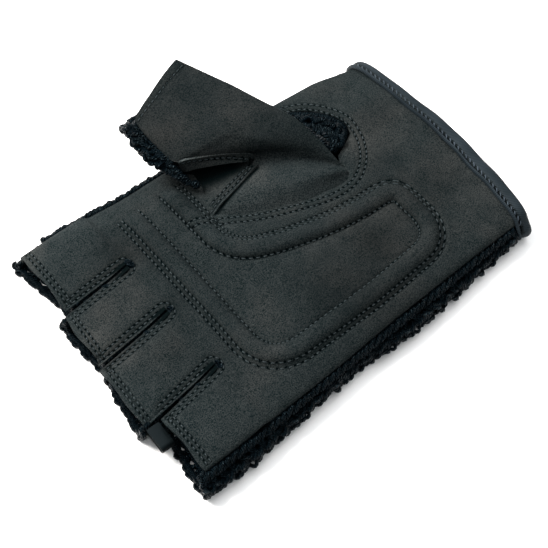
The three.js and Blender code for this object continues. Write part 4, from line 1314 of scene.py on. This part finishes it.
class GloveSatin(bpy.types.PropertyGroup):
    """Colours of the satin tape."""

    dark: colour_property("Dark", "Colour between the ribs", (0.0042, 0.0066, 0.0082))
    light: colour_property("Light", "Colour of the ribs", (0.0132, 0.0180, 0.0222))
    rib: bpy.props.FloatProperty(
        name="Rib", description="Millimetres from one rib of the tape to the next", default=0.7)


class GLOVE_OT_palm(bpy.types.Operator):
    """Suede palm with the four finger fronts, the quilted roll, the slits and the opening for the thumb"""

    bl_idname = "glove.palm"
    bl_label = "Suede Palm"

    def execute(self, context):
        rows = np.concatenate([
            np.linspace(0, FINGER_ROWS, FINGER_LINES, endpoint=False),
            np.linspace(FINGER_ROWS, LAST_ROW - 1, PALM_LINES, endpoint=False),
            np.linspace(LAST_ROW - 1, LAST_ROW, 4),
        ])
        q = spread_over_arch(FINGER_ACROSS, FINGER_POWER)
        points = np.concatenate([suede_point(k, rows[:, None], q[None]) for k in range(4)], 1)
        strip = len(q)
        place = np.arange(4 * strip)
        inner = np.tile(np.abs(2 * q - 1) ** 6 * np.sign(2 * q - 1), 4)
        inner[:strip // 2] = 0
        inner[-(strip // 2):] = 0
        points[..., 1] -= 0.3 * inner * np.clip(1 - rows / FINGER_ROWS, 0, 1)[:, None]
        along_edge = points[..., 1] / 2.9 + 1.7 * (place // strip)
        points[..., 0] += 0.35 * np.sin(along_edge) * (1 - smoothstep(rows, 0, 1.6))[:, None]
        normals = grid_normals(points)
        for column, toward in ((0, -1.0), (strip - 1, 1.0)):
            normals[np.ix_(rows <= FINGER_ROWS, place % strip == column)] = (0, toward, 0)
        normals[:, 0] = (0, -1, 0)
        normals[:, -1] = (0, 1, 0)
        x, y = points[..., 0], points[..., 1]
        upward = smoothstep(normals[..., 2], 0.15, 0.7)
        on_top = points + normals * (relief(x, y) * upward)[..., None]
        keep = np.ones((len(rows) - 1, 4 * strip - 1), bool)
        between = place[:-1] % strip == strip - 1
        keep[np.ix_(rows[:-1] < FINGER_ROWS - 1e-6, between)] = False
        centre = (x[:-1, :-1] + x[1:, 1:]) / 2, (y[:-1, :-1] + y[1:, 1:]) / 2
        cut = inside_outline(THUMB_OPENING, *centre)
        keep &= ~cut
        around = np.pad(~cut, 1, constant_values=True)
        near_cut = ~(around[:-1, :-1] & around[1:, :-1] & around[:-1, 1:] & around[1:, 1:])
        near_kept = around[:-1, :-1] | around[1:, :-1] | around[:-1, 1:] | around[1:, 1:]
        rim = near_cut & near_kept
        outline = polyline(THUMB_OPENING + THUMB_OPENING[:1], 0.4)
        spot = np.stack([x[rim], y[rim]], -1)
        nearest = outline[((spot[:, None] - outline[None]) ** 2).sum(-1).argmin(1)]
        on_top[rim, :2] = nearest
        on_top[rim, 2] = palm_surface(nearest[:, 0], nearest[:, 1])
        thick = context.scene.glove_suede.thickness * 1000
        shape, used = wall(on_top, thick, keep, normals)
        near, phase, _ = seam_marks(on_top[..., 0], on_top[..., 1])
        # Painted light and shade, partly the nap's lie, across the palm
        tone = nap_and_painted_light(x, y)
        # Painted shade on the lips of the slits between the fingers
        fold = np.zeros(x.shape)
        for column in range(strip - 1, 4 * strip - 1, strip):
            fold[np.ix_(rows <= FINGER_ROWS, [column, column + 1])] = 0.9
        marks = marks_at(used, near, phase, fold, tone)
        piece = add_piece("palm_suede", shape, suede_materials()[:1], ["palm_panel"], marks=marks)
        return {"FINISHED"}


def add_thumb(thick):
    """The suede front of the thumb, with a painted shadow beside the leaf's low edge and painted light and
    shade over its fold.
    """
    steps = np.concatenate([np.linspace(0, 6, 60, endpoint=False), np.linspace(6, THUMB_END, 70)])
    q = spread_over_arch(61, THUMB_POWER)
    points = thumb_cloth(steps[:, None], q[None, ::-1])
    normals = grid_normals(points)
    run = unit((points[:, 0] - points[:, -1]) * np.array([1, 1, 0]))
    normals[:, 0] = run
    normals[:, -1] = -run
    x, y = points[..., 0], points[..., 1]
    soft = 0.14 * np.sin(x / 5.1 + y / 7.7) * np.sin(y / 5.9 - x / 13)
    soft = soft + 0.08 * np.sin(x / 2.3) * np.sin(y / 3.1)
    upward = smoothstep(normals[..., 2], 0.1, 0.7)
    points = points + normals * (soft * upward)[..., None]
    near = np.abs((THUMB_END - steps) * thumb_last_step() - HEM_INSET)[:, None] + np.zeros(q.shape)
    across = arc_length(thumb_point(np.full(len(q), 11.7), q))
    phase = across[None, ::-1] / STITCH_PITCH + np.zeros((len(steps), 1))
    near += NO_ROW * ((q < 0.05) | (q > 0.95))[None, ::-1]
    shape, used = wall(points, thick, None, normals)
    to_end = steps[:, None]
    from_leaf = q[None, ::-1]
    # Painted light and shade: lighter towards the foot, darker beyond, and lighter and darker bands where
    # the fold turns away from the lamps
    tone = lerp(0.2, -0.2, smoothstep(to_end, 2, 6))
    tone = tone - 0.14 * bell(to_end - 9.5, 1.6) * (1 - smoothstep(from_leaf, 0, 0.6))
    tone = tone + 0.45 * bell(to_end - 7.6, 1.2) * (1 - smoothstep(from_leaf, 0.3, 0.6))
    tone = tone - 0.25 * bell(to_end - 5.2, 1.3) * bell(from_leaf - 0.2, 0.2)
    # Painted shadow under the leaf's raised low edge
    from_low, share = distance_to(leaf_line("low", np.linspace(0.02, 0.98, 60)), x, y)
    beside = (share > 1e-4) & (share < 1 - 1e-4) & (to_end < 5.4)
    fold = np.minimum(0.96, 1.3 * beside * bell(from_low + 0.5, 0.75))
    marks = marks_at(used, near, phase, fold, tone)
    piece = add_piece("thumb_suede", shape, suede_materials(), ["thumb_panel"], marks=marks)


def add_leaf():
    """The leaf-shaped patch, with painted shade in its hollow, at its left end and near its tip, and pale
    cut edges that are partly a painted highlight.
    """
    along = np.linspace(0, 1, 60)
    cell = np.concatenate([np.linspace(0, 1, 40, endpoint=False), np.linspace(1, 2, 20)])
    points = leaf_point(along[:, None], cell[None])
    strip, height = (size[:, None] for size in leaf_sizes(along))
    over, up = np.clip(cell, 0, 1)[None], np.clip(cell - 1, 0, 1)[None]
    from_low = strip * over + height * up
    from_top = height * (1 - up) + strip * (1 - over)
    rows = [np.abs(from_low - d) for d in LEAF_ROWS] + [np.abs(from_top - LEAF_ROWS[0])]
    near = np.minimum.reduce(rows)
    points[..., 2] -= 0.25 * bell(near, 0.5)
    phase = along[:, None] * LEAF_LENGTH / STITCH_PITCH + np.zeros(cell.shape)
    # Painted shade in the hollow under the thumb, fading out towards the tip
    fold = (smoothstep(cell, 0.25, 0.7) * (1 - smoothstep(cell, 1.45, 1.7)))[None]
    fold = 0.94 * fold * (1 - smoothstep(along, 0.65, 0.95))[:, None]
    shape, used = wall(points, LEAF_WALL)
    # Lighter cut edges, partly a painted highlight; painted shade at the left end under the crochet and on
    # the strip and low wall near the tip
    tone = (1.5 * (cell > 1.99) + 0.5 * (cell < 0.01))[None] * smoothstep(along, 0.02, 0.1)[:, None]
    tone = tone - 0.85 * ((along < 0.01)[:, None] & (cell > 0.3)[None])
    tone = tone - 0.5 * (smoothstep(along, 0.5, 0.85)[:, None] * (1 - smoothstep(cell, 1, 1.5))[None])
    marks = marks_at(used, near, phase, fold, tone)
    nap = suede_materials()[:1]
    piece = add_piece("crotch_leaf", shape, nap, ["crotch_patch"], marks=marks)


class GLOVE_OT_thumb(bpy.types.Operator):
    """Suede front of the thumb with its fat fold, and the patch folded into the crotch"""

    bl_idname = "glove.thumb"
    bl_label = "Suede Thumb and Patch"

    def execute(self, context):
        add_thumb(context.scene.glove_suede.thickness * 1000)
        add_leaf()
        return {"FINISHED"}


def yarn_net(shape, outward, rows, columns, radius, gaps):
    """Crochet over a surface: a braid of two strands along each row, and a V of two strands in each cell.

    shape(u, v) gives places on the surface and outward is the sign of its normals. rows and columns are
    the places of the braids and of the cells' sides. gaps marks the cells that stay open. The yarn's
    thickness and way wander a little, and it stays above what the back of the hand lies on.
    """
    def laid(u, v, height):
        place = shape(u, v)
        up = surface_normals(shape, u, v) * outward
        height = height - 0.5 * radius * np.clip(-up[..., 2], 0, 1)
        place = place + up * height[..., None]
        place[..., 2] = np.maximum(place[..., 2], 1.25 * radius)
        return place, up

    parts = []
    dense = np.linspace(columns[0], columns[-1], (len(columns) - 1) * 4 + 1)
    phase = np.interp(dense, columns, np.arange(len(columns)))
    pitch = np.abs(np.gradient(rows))
    order = np.arange(len(rows))[:, None]
    for strand in (0, 1):
        turn = 2 * np.pi * (phase + strand / 2)[None] + 0.5 * np.sin(order * 2.1 + phase * 0.8)
        drift = 0.05 * np.sin(order * 1.3 + phase * 1.9) * pitch[:, None]
        u = rows[:, None] + 0.17 * np.cos(turn) * pitch[:, None] + drift
        v = np.broadcast_to(dense, u.shape)
        height = -0.8 * radius + 0.34 * radius * np.sin(turn)
        path, up = laid(np.clip(u, rows[0], rows[-1]), v, height)
        parts.append(tubes(path, up, radius * (0.95 + 0.12 * np.sin(phase * 2.7 + order)), 5))
    i, j = np.nonzero(~gaps)
    t = np.linspace(0, 1, 6)
    middle = (columns[j] + columns[j + 1]) / 2
    half = (columns[j + 1] - columns[j]) / 2
    wobble = 0.2 * uneven(i, j)
    for lean in (-1, 1):
        mine = uneven(i, j, lean)[:, None]
        other = uneven(j, i, lean + 4)[:, None]
        rise = np.sin(np.pi * t)
        u = rows[i][:, None] + (rows[i + 1] - rows[i])[:, None] * (0.02 + 0.96 * t + 0.09 * other * rise)
        spread = (0.2 + 0.5 * np.sin(np.pi * t * 0.8) ** 1.2) * (1 + 0.22 * mine)
        v = middle[:, None] + half[:, None] * (lean * spread + wobble[:, None])
        height = radius * (-1.05 + (0.62 + 0.3 * other) * rise + 0.2 * lean * np.cos(np.pi * t))
        thick = radius * (0.88 + 0.2 * rise + 0.14 * mine)
        path, up = laid(u, v, np.broadcast_to(height, u.shape))
        parts.append(tubes(path, up, thick, 5))
    return parts


def hand_gap(i, j):
    """Which cells of the hand's back are gaps of the net, as in the frame."""
    cell = j % FINGER_COLUMNS
    last = LAST_ROW - 3
    flat = (i >= FINGER_ROWS + 2) & (j > WALL_CELLS) & (j < LAST_COLUMN - WALL_CELLS - 1)
    net = flat & (j % 3 == 1) & ((i + j // 3) % 2 == 0)
    side = (j == 1) & (i % 3 == 1)
    low_half = (cell == WALL_CELLS) & (i % 4 == 1)
    high_half = (cell == WALL_CELLS + 1) & (i % 4 == 3)
    finger = (i < FINGER_ROWS - 1) & (low_half | high_half)
    return (i >= 1) & (i <= last) & (side | np.where(j == 1, False, net | finger))


def finger_strip(grid, k):
    """The part of the back's grid that is finger k, with two rows beyond its root."""
    first = k * FINGER_COLUMNS
    return grid[:FINGER_ROWS + 2, first:first + FINGER_COLUMNS]


def facing(line, direction):
    """One direction for every point of a line."""
    return np.broadcast_to(np.array(direction, float), line.shape)


def add_yarn(name, parts, nodes=()):
    """Joins threads of yarn into one piece."""
    shape, uv = join(parts)
    add_piece(name, shape, [yarn_material()], nodes, uv, sharp=80)


def hand_surface(grid, u, v):
    """The back of the hand behind the fingers, at rows u and columns v of the back's grid."""
    return smooth_grid(grid[FINGER_ROWS:], u - FINGER_ROWS, v)


def side_line(grid, column, first, last, count, move):
    """A line along a column of the back's grid, over the finger and on over the hand, moved a little."""
    u = np.linspace(first, last, count)
    near = smooth_grid(grid[:FINGER_ROWS + 1], np.minimum(u, FINGER_ROWS), column)
    far = hand_surface(grid, np.maximum(u, FINGER_ROWS), column)
    return np.where((u < FINGER_ROWS)[:, None], near, far) + np.array(move)


def hand_yarn(grid, radius):
    """The net on the back of the hand."""
    rows = np.arange(FINGER_ROWS, LAST_ROW, dtype=float)
    rows[0] += 0.05
    columns = np.arange(LAST_COLUMN + 1, dtype=float)
    i, j = np.meshgrid(np.arange(FINGER_ROWS, LAST_ROW - 1), np.arange(LAST_COLUMN), indexing="ij")
    return yarn_net(partial(hand_surface, grid), -1, rows, columns, radius, hand_gap(i, j))


def finger_yarn(grid, radius):
    """The nets on the backs of the fingers."""
    rows = np.concatenate([[0.12], np.arange(1, FINGER_ROWS + 1, dtype=float)])
    columns = np.arange(FINGER_COLUMNS, dtype=float)
    parts = []
    for k in range(4):
        cells = k * FINGER_COLUMNS + np.arange(BACK_CELLS)
        i, j = np.meshgrid(np.arange(FINGER_ROWS), cells, indexing="ij")
        finger = partial(smooth_grid, finger_strip(grid, k))
        parts += yarn_net(finger, -1, rows, columns, 0.92 * radius, hand_gap(i, j))
    return parts


def border_yarn(grid, radius):
    """A twisted edge with rows of loops along the little-finger side, and a shorter one along the index."""
    last = LAST_ROW - 1.1
    line = side_line(grid, 0.2, 0.3, last, 340, (0, -0.2, -0.3))
    parts = [twisted(line, facing(line, (0, -1, 0.4)), 0.88 * radius, 5.4, 0.9)]
    for lot, (column, pitch, reach, up, size) in enumerate(SIDE_LOOPS):
        line = side_line(grid, column, 0.3, last, 340, (0, 0.9, 0))
        parts.append(loops(line, facing(line, (0, -1, up)), size * radius, pitch, reach, lot))
    line = side_line(grid, 34.75, 3.2, 13.8, 200, (0, 0.5, 1.5))
    parts.append(twisted(line, facing(line, (0, 1, 0.4)), 0.85 * radius, 5.0, 0.8))
    parts.append(loops(line, facing(line, (0, 1, 0.9)), 0.6 * radius, 2.0, 1.1, 7))
    parts.append(loops(line, facing(line, (0, 1, 0.1)), 0.62 * radius, 2.3, 1.0, 8))
    return parts


def end_yarn(grid, radius):
    """Two rows of loops round the open end of each finger's back."""
    parts = []
    across = np.linspace(0.45, BACK_CELLS - 0.45, 120)
    for k in range(4):
        line = smooth_grid(finger_strip(grid, k), 0.18, across)
        parts.append(loops(line, facing(line, (-1, 0, 0.6)), 0.64 * radius, 2.1, 1.3, 10 + k))
        parts.append(loops(line, facing(line, (-1, 0, 0)), 0.66 * radius, 2.4, 1.5, 14 + k))
    return parts


def thumb_yarn(radius):
    """The net on the back of the thumb, its rows of loops, and the ropes at its low corner."""
    shape = partial(smooth_grid, thumb_back_grid())
    columns = np.linspace(0, 10, 15)
    gaps = np.zeros((len(THUMB_BRAIDS) - 1, len(columns) - 1), bool)
    gaps[2:-1:2, 3:-2:4] = True
    gaps[-1, 2:-2:3] = True
    parts = yarn_net(shape, 1, THUMB_BRAIDS, columns, radius, gaps)
    across = np.linspace(0.6, 9.6, 120)
    line = shape(THUMB_BRAIDS[-1], across)
    outward = line - shape(6.4, across)
    parts.append(loops(line, outward, 0.64 * radius, 2.1, 1.3, 20))
    parts.append(loops(line, outward, 0.66 * radius, 2.5, 0.9, 21))
    across = np.linspace(1.6, 9.2, 140)
    for lot, step in enumerate(THUMB_FOOT_LOOPS):
        up = surface_normals(shape, step, across)
        parts.append(loops(shape(step, across), up, 0.95 * radius, 3.2, 1.0, 40 + lot))
    along = np.linspace(4.3, 6.9, 120)
    for lot, (column, reach) in enumerate(THUMB_SIDE_LOOPS):
        line = shape(along, column)
        parts.append(loops(line, facing(line, (-0.85, -0.5, 0.1)), 0.66 * radius, 2.3, reach, 22 + lot))
    for lot, rope in enumerate(CORNER_ROPES):
        line = polyline(smooth_line(rope), 0.4)
        parts.append(twisted(line, facing(line, (-0.6, -0.6, 0.5)), 0.8 * radius, 4.8, 0.7))
        parts.append(loops(line, facing(line, (-0.7, -0.5, 0.2)), 0.6 * radius, 2.1, 0.8, 30 + lot))
        parts.append(loops(line, facing(line, (0.3, -0.8, 0.6)), 0.6 * radius, 2.3, 0.7, 34 + lot))
    return parts


class GLOVE_OT_crochet(bpy.types.Operator):
    """Crocheted backs of the hand, the fingers and the thumb: nets of yarn with loops along their edges"""

    bl_idname = "glove.crochet"
    bl_label = "Crochet"

    def execute(self, context):
        radius = context.scene.glove_yarn.radius * 1000
        grid = crochet_grid()
        add_yarn("crochet_hand", hand_yarn(grid, radius), ["crochet_back"])
        add_yarn("crochet_fingers", finger_yarn(grid, radius))
        add_yarn("crochet_border", border_yarn(grid, radius))
        add_yarn("crochet_ends", end_yarn(grid, radius))
        add_yarn("crochet_thumb", thumb_yarn(radius), ["thumb_crochet"])
        return {"FINISHED"}


class GLOVE_OT_ground(bpy.types.Operator):
    """Thin dark ground under the crochet, with the gaps of the net left open"""

    bl_idname = "glove.ground"
    bl_label = "Crochet Ground"

    def execute(self, context):
        grid = crochet_grid()
        rows = np.linspace(1, LAST_ROW, 3 * (LAST_ROW - 1) + 1)
        columns = np.linspace(0, LAST_COLUMN, 2 * LAST_COLUMN + 1)
        u, v = np.meshgrid(rows, columns, indexing="ij")
        points = smooth_grid(grid, u, v)
        low = u < FINGER_ROWS
        for k in range(4):
            first = k * FINGER_COLUMNS
            here = low & (v >= first) & (v <= first + BACK_CELLS)
            points[here] = smooth_grid(finger_strip(grid, k), u[here], v[here] - first)
        normals = -grid_normals(points)
        normals[low & (v % FINGER_COLUMNS == 0)] = (0, -1, 0)
        normals[low & (v % FINGER_COLUMNS == BACK_CELLS)] = (0, 1, 0)
        i = np.floor(rows[:-1] + 0.01).astype(int)
        j = np.floor(columns[:-1] + 0.01).astype(int)
        i, j = np.meshgrid(i, j, indexing="ij")
        keep = ~hand_gap(i, j) & ~((i < FINGER_ROWS) & (j % FINGER_COLUMNS == BACK_CELLS))
        points = points - normals * GROUND_DEPTH
        shape, _ = wall(points[:, ::-1], GROUND_WALL, keep[:, ::-1], normals[:, ::-1])
        piece = add_piece("crochet_ground", shape, [ground_material()], sharp=40)
        return {"FINISHED"}


def wrist_ring():
    """The closed line round the wrist in the middle of the two walls."""
    q = np.linspace(0, 1, 30)
    top = np.concatenate([suede_point(k, np.full(30, float(LAST_ROW)), q) for k in range(4)])
    grid = crochet_grid()[-1]
    bottom = read_line(np.linspace(LAST_COLUMN, 0, 120), np.arange(LAST_COLUMN + 1), grid)
    ring = np.concatenate([top, bottom])
    ring[:, 0] = 0
    return ring


def binding_row():
    """The stitched row on the palm side of the binding, and how many stitches it has."""
    ring = wrist_ring()[:120]
    line = ring.copy()
    line[:, 0] = wrist_edge(line[:, 1]) + BINDING_ROW
    heading = unit(np.gradient(ring, axis=0))
    up = np.stack([np.zeros(len(ring)), -heading[:, 2], heading[:, 1]], -1)
    line = line + up * 1.05
    return line, int(length_of(line) / STITCH_PITCH)


def tab_points():
    """Outer face of the tab: a tape that runs down, turns half round its fold and runs back below."""
    x = np.linspace(TAB["far_x"], TAB["near_x"], 14)
    t = np.linspace(0, 1, 40)
    half = TAB_THICKNESS / 2
    bend = TAB["fold_y"] + half
    angle = np.pi * np.clip((t - 0.4) / 0.2, 0, 1)
    there = lerp(TAB["root_y"], bend, t / 0.4)
    back_again = lerp(bend, TAB["root_y"], (t - 0.6) / 0.4)
    y = np.where(t < 0.4, there, np.where(t > 0.6, back_again, bend))
    z = lerp(TAB["root_z"], TAB["fold_z"], (y - TAB["root_y"]) / (TAB["fold_y"] - TAB["root_y"]))
    y = y - half * np.sin(angle)
    z = z - half * (1 - np.cos(angle))
    puff = 0.25 * np.sin(np.pi * (x - x[0]) / (x[-1] - x[0]))
    return np.stack([
        np.broadcast_to(x[:, None], (14, 40)),
        np.broadcast_to(y[None], (14, 40)),
        z[None] + puff[:, None] * np.cos(angle)[None],
    ], -1)


class GLOVE_OT_binding(bpy.types.Operator):
    """Satin binding folded over the wrist edge, and the satin tab between two fingers"""

    bl_idname = "glove.binding"
    bl_label = "Satin Binding and Tab"

    def execute(self, context):
        ring = wrist_ring()
        closed = polyline(np.concatenate([ring, ring[:1]]), BINDING_STEP)[:-1]
        for _ in range(6):
            closed = (np.roll(closed, 1, 0) + 2 * closed + np.roll(closed, -1, 0)) / 4
        heading = unit(np.roll(closed, -1, 0) - np.roll(closed, 1, 0))
        out = unit(np.stack([np.zeros(len(closed)), -heading[:, 2], heading[:, 1]], -1))
        middle = closed - out * 0.7
        around = np.arange(len(closed)) * BINDING_STEP
        angle = np.linspace(2 * np.pi - 0.35, 0.35, 44)
        wide = np.interp(middle[:, 1], BINDING_WIDTHS["y"], BINDING_WIDTHS["wide"])[:, None]
        along = wide / 2 * (1 - np.sign(np.cos(angle)) * np.abs(np.cos(angle)) ** 0.55)[None]
        across = (BINDING_HALF * np.sign(np.sin(angle)) * np.abs(np.sin(angle)) ** 0.5)[None]
        side = np.sign(across)
        ripple = 0.14 * np.sin(around / 2.4)[:, None] * np.abs(np.sin(angle))[None]
        ripple = ripple + 0.12 * np.sin(around / 5.7)[:, None]
        ridge = 0.42 * bell(along - 0.8, 0.42) - 0.75 * bell(along - BINDING_GROOVE, 0.42)
        nub = 1.1 * bell(middle[:, 1] + 41.5, 2.6)[:, None] * smoothstep(along / wide, 0.25, 0.7)
        start = wrist_edge(middle[:, 1]) + 0.22 * np.sin(around / 6.1) + 0.12 * np.sin(around / 2.6)
        points = middle[:, None] + out[:, None] * (across + (ridge + ripple + nub) * side)[..., None]
        points[..., 0] = start[:, None] + along
        points[..., 2] = np.maximum(points[..., 2], 0.05)
        forward = np.roll(points, -1, 0) - np.roll(points, 1, 0)
        normals = unit(np.cross(forward, np.gradient(points, axis=1)))
        shape, used = wall(points, BINDING_WALL, None, normals, ring=True)
        place = np.broadcast_to(around[:, None], points.shape[:2]).ravel()[used]
        slant = np.broadcast_to(0.2 * along, points.shape[:2]).ravel()[used]
        corners = np.concatenate(shape[1])
        uv = np.stack([place[corners], slant[corners]], -1)
        wrapped = uv.reshape(-1, 4, 2)
        far = wrapped[..., 0].max(1, keepdims=True) - wrapped[..., 0] > 10
        wrapped[..., 0] += np.where(far, around[-1] + BINDING_STEP, 0)
        row, count = binding_row()
        at = arc_length(row)
        share = np.interp(middle[:, 1], row[:, 1], at / at[-1])
        upper = (across > 0) & (out[:, 2] > 0.3)[:, None]
        near = np.where(upper, np.abs(along - BINDING_ROW), NO_ROW)
        phase = np.broadcast_to(share[:, None] * count, near.shape)
        # Painted shade in the groove by the stitched row and along the inner edge beside the suede
        fold = upper * (0.95 * bell(along - BINDING_GROOVE, 0.5) + 0.6 * (1 - smoothstep(along, 0, 0.3)))
        marks = marks_at(used, near, phase, fold)
        piece = add_piece("cuff_satin", shape, [satin_material()], ["cuff_binding"], uv, marks)

        shape, _ = wall(tab_points(), TAB_WALL)
        add_piece("tab_satin", shape, [satin_material()], ["finger_tab"])
        return {"FINISHED"}


class GLOVE_OT_stitches(bpy.types.Operator):
    """Every row of stitches: quilting, slits, hems, thenar seam, leaf, thumb end and binding"""

    bl_idname = "glove.stitches"
    bl_label = "Stitches"

    def execute(self, context):
        rows = [seam_stitches(line, offset) for line, offsets, _ in SEAMS for offset in offsets]
        along = np.linspace(0.04, 0.96, 60)
        strip, height = leaf_sizes(along)
        cells = [np.minimum(inset / strip, 0.98) for inset in LEAF_ROWS]
        cells.append(2 - np.minimum(LEAF_ROWS[0] / height, 0.9))
        for cell in cells:
            up = surface_normals(leaf_point, along, cell, 0.01)
            rows.append(stitch_paths(leaf_point(along, cell), up))
        q = np.linspace(0.06, 0.94, 60)
        step = np.full(60, THUMB_END - HEM_INSET / thumb_last_step())
        rows.append(stitch_paths(thumb_cloth(step, q), -surface_normals(thumb_cloth, step, q)))
        paths, ups = (np.concatenate(lot) for lot in zip(*rows))
        parts = [tubes(paths, ups, STITCH_RADIUS, 5)]
        dark = len(parts[0][1])
        line, _ = binding_row()
        heading = unit(np.gradient(line, axis=0))
        up = unit(np.stack([np.zeros(len(line)), -heading[:, 2], heading[:, 1]], -1))
        path, up = stitch_paths(line, up)
        path[..., 0] += np.linspace(-0.65, 0.4, path.shape[1])
        parts.append(tubes(path, up, 1.2 * STITCH_RADIUS, 5))
        (points, faces, _), uv = join(parts)
        materials = [thread_material(), binding_thread_material()]
        add_piece("stitches", (points, faces, dark), materials, (), uv, sharp=80)
        return {"FINISHED"}


def looking(right, backward, place):
    """Matrix of a lamp or a camera from its axis to the right, its axis backward and its place."""
    axes = np.stack([right, np.cross(backward, right), backward, place], -1)
    return Matrix([*axes.tolist(), [0, 0, 0, 1]])


class GLOVE_OT_stage(bpy.types.Operator):
    """Pale floor, soft studio light and the camera"""

    bl_idname = "glove.stage"
    bl_label = "Stage"

    def execute(self, context):
        mesh = bpy.data.meshes.new("floor")
        side = FLOOR_SIDE
        corners = [(-side, -side, 0), (side, -side, 0), (side, side, 0), (-side, side, 0)]
        mesh.from_pydata(corners, [], [(0, 1, 2, 3)])
        floor = bpy.data.objects.new("floor", mesh)
        context.scene.collection.objects.link(floor)
        material = bpy.data.materials.new("Pale Floor")
        material.use_nodes = True
        shader = material.node_tree.nodes["Principled BSDF"]
        shader.inputs["Base Color"].default_value = (0.93, 0.925, 0.925, 1)
        shader.inputs["Roughness"].default_value = 0.9
        mesh.materials.append(material)

        world = bpy.data.worlds.new("studio")
        world.use_nodes = True
        sky = world.node_tree.nodes["Background"]
        sky.inputs["Color"].default_value = (0.93, 0.98, 1.0, 1)
        sky.inputs["Strength"].default_value = 0.37
        context.scene.world = world

        for name, place, size, power, colour in LAMPS:
            light = bpy.data.lights.new(name, "AREA")
            light.color = colour
            light.size = size
            light.energy = power
            lamp = bpy.data.objects.new(name, light)
            place = np.array(place, float)
            backward = unit(place - np.array(LAMP_AIM))
            lamp.matrix_world = looking(unit(np.cross([0, 0, 1], backward)), backward, place)
            context.scene.collection.objects.link(lamp)

        turn, tilt = np.radians(VIEW_TURN), np.radians(VIEW_TILT)
        right = np.array([np.cos(turn), np.sin(turn), 0])
        backward = np.array([np.sin(turn) * np.cos(tilt), -np.cos(turn) * np.cos(tilt), np.sin(tilt)])
        place = (np.array([0, 0, VIEW_AIM]) + SHIFT) / 1000 + backward * VIEW_DISTANCE
        lens = bpy.data.cameras.new("camera")
        lens.sensor_width = SENSOR_WIDTH
        lens.lens = SENSOR_WIDTH * LENS_PIXELS / PICTURE_PIXELS
        lens.clip_start = 0.05
        camera = bpy.data.objects.new("camera", lens)
        camera.matrix_world = looking(right, backward, place)
        context.scene.collection.objects.link(camera)
        context.scene.camera = camera
        context.scene.view_settings.view_transform = "Standard"
        return {"FINISHED"}


class GLOVE_PT_panel(bpy.types.Panel):
    """Buttons for the glove's pieces"""

    bl_label = "Cycling Glove"
    bl_idname = "GLOVE_PT_panel"
    bl_space_type = "VIEW_3D"
    bl_region_type = "UI"
    bl_category = "Glove"

    def draw(self, context):
        for group in (context.scene.glove_suede, context.scene.glove_yarn, context.scene.glove_satin):
            for label in group.__annotations__:
                self.layout.prop(group, label)
        for operator in OPERATORS:
            self.layout.operator(operator.bl_idname)


GROUPS = {"glove_suede": GloveSuede, "glove_yarn": GloveYarn, "glove_satin": GloveSatin}
OPERATORS = [
    GLOVE_OT_palm, GLOVE_OT_thumb, GLOVE_OT_crochet, GLOVE_OT_ground, GLOVE_OT_binding, GLOVE_OT_stitches,
    GLOVE_OT_stage,
]


def register():
    for item in [*GROUPS.values(), *OPERATORS, GLOVE_PT_panel]:
        bpy.utils.register_class(item)
    for name, group in GROUPS.items():
        setattr(bpy.types.Scene, name, bpy.props.PointerProperty(type=group))


def unregister():
    for name in GROUPS:
        delattr(bpy.types.Scene, name)
    for item in reversed([*GROUPS.values(), *OPERATORS, GLOVE_PT_panel]):
        bpy.utils.unregister_class(item)


def main():
    register()
    bpy.ops.glove.palm()
    bpy.ops.glove.thumb()
    bpy.ops.glove.crochet()
    bpy.ops.glove.ground()
    bpy.ops.glove.binding()
    bpy.ops.glove.stitches()
    bpy.ops.glove.stage()


if __name__ == "__main__":
    main()
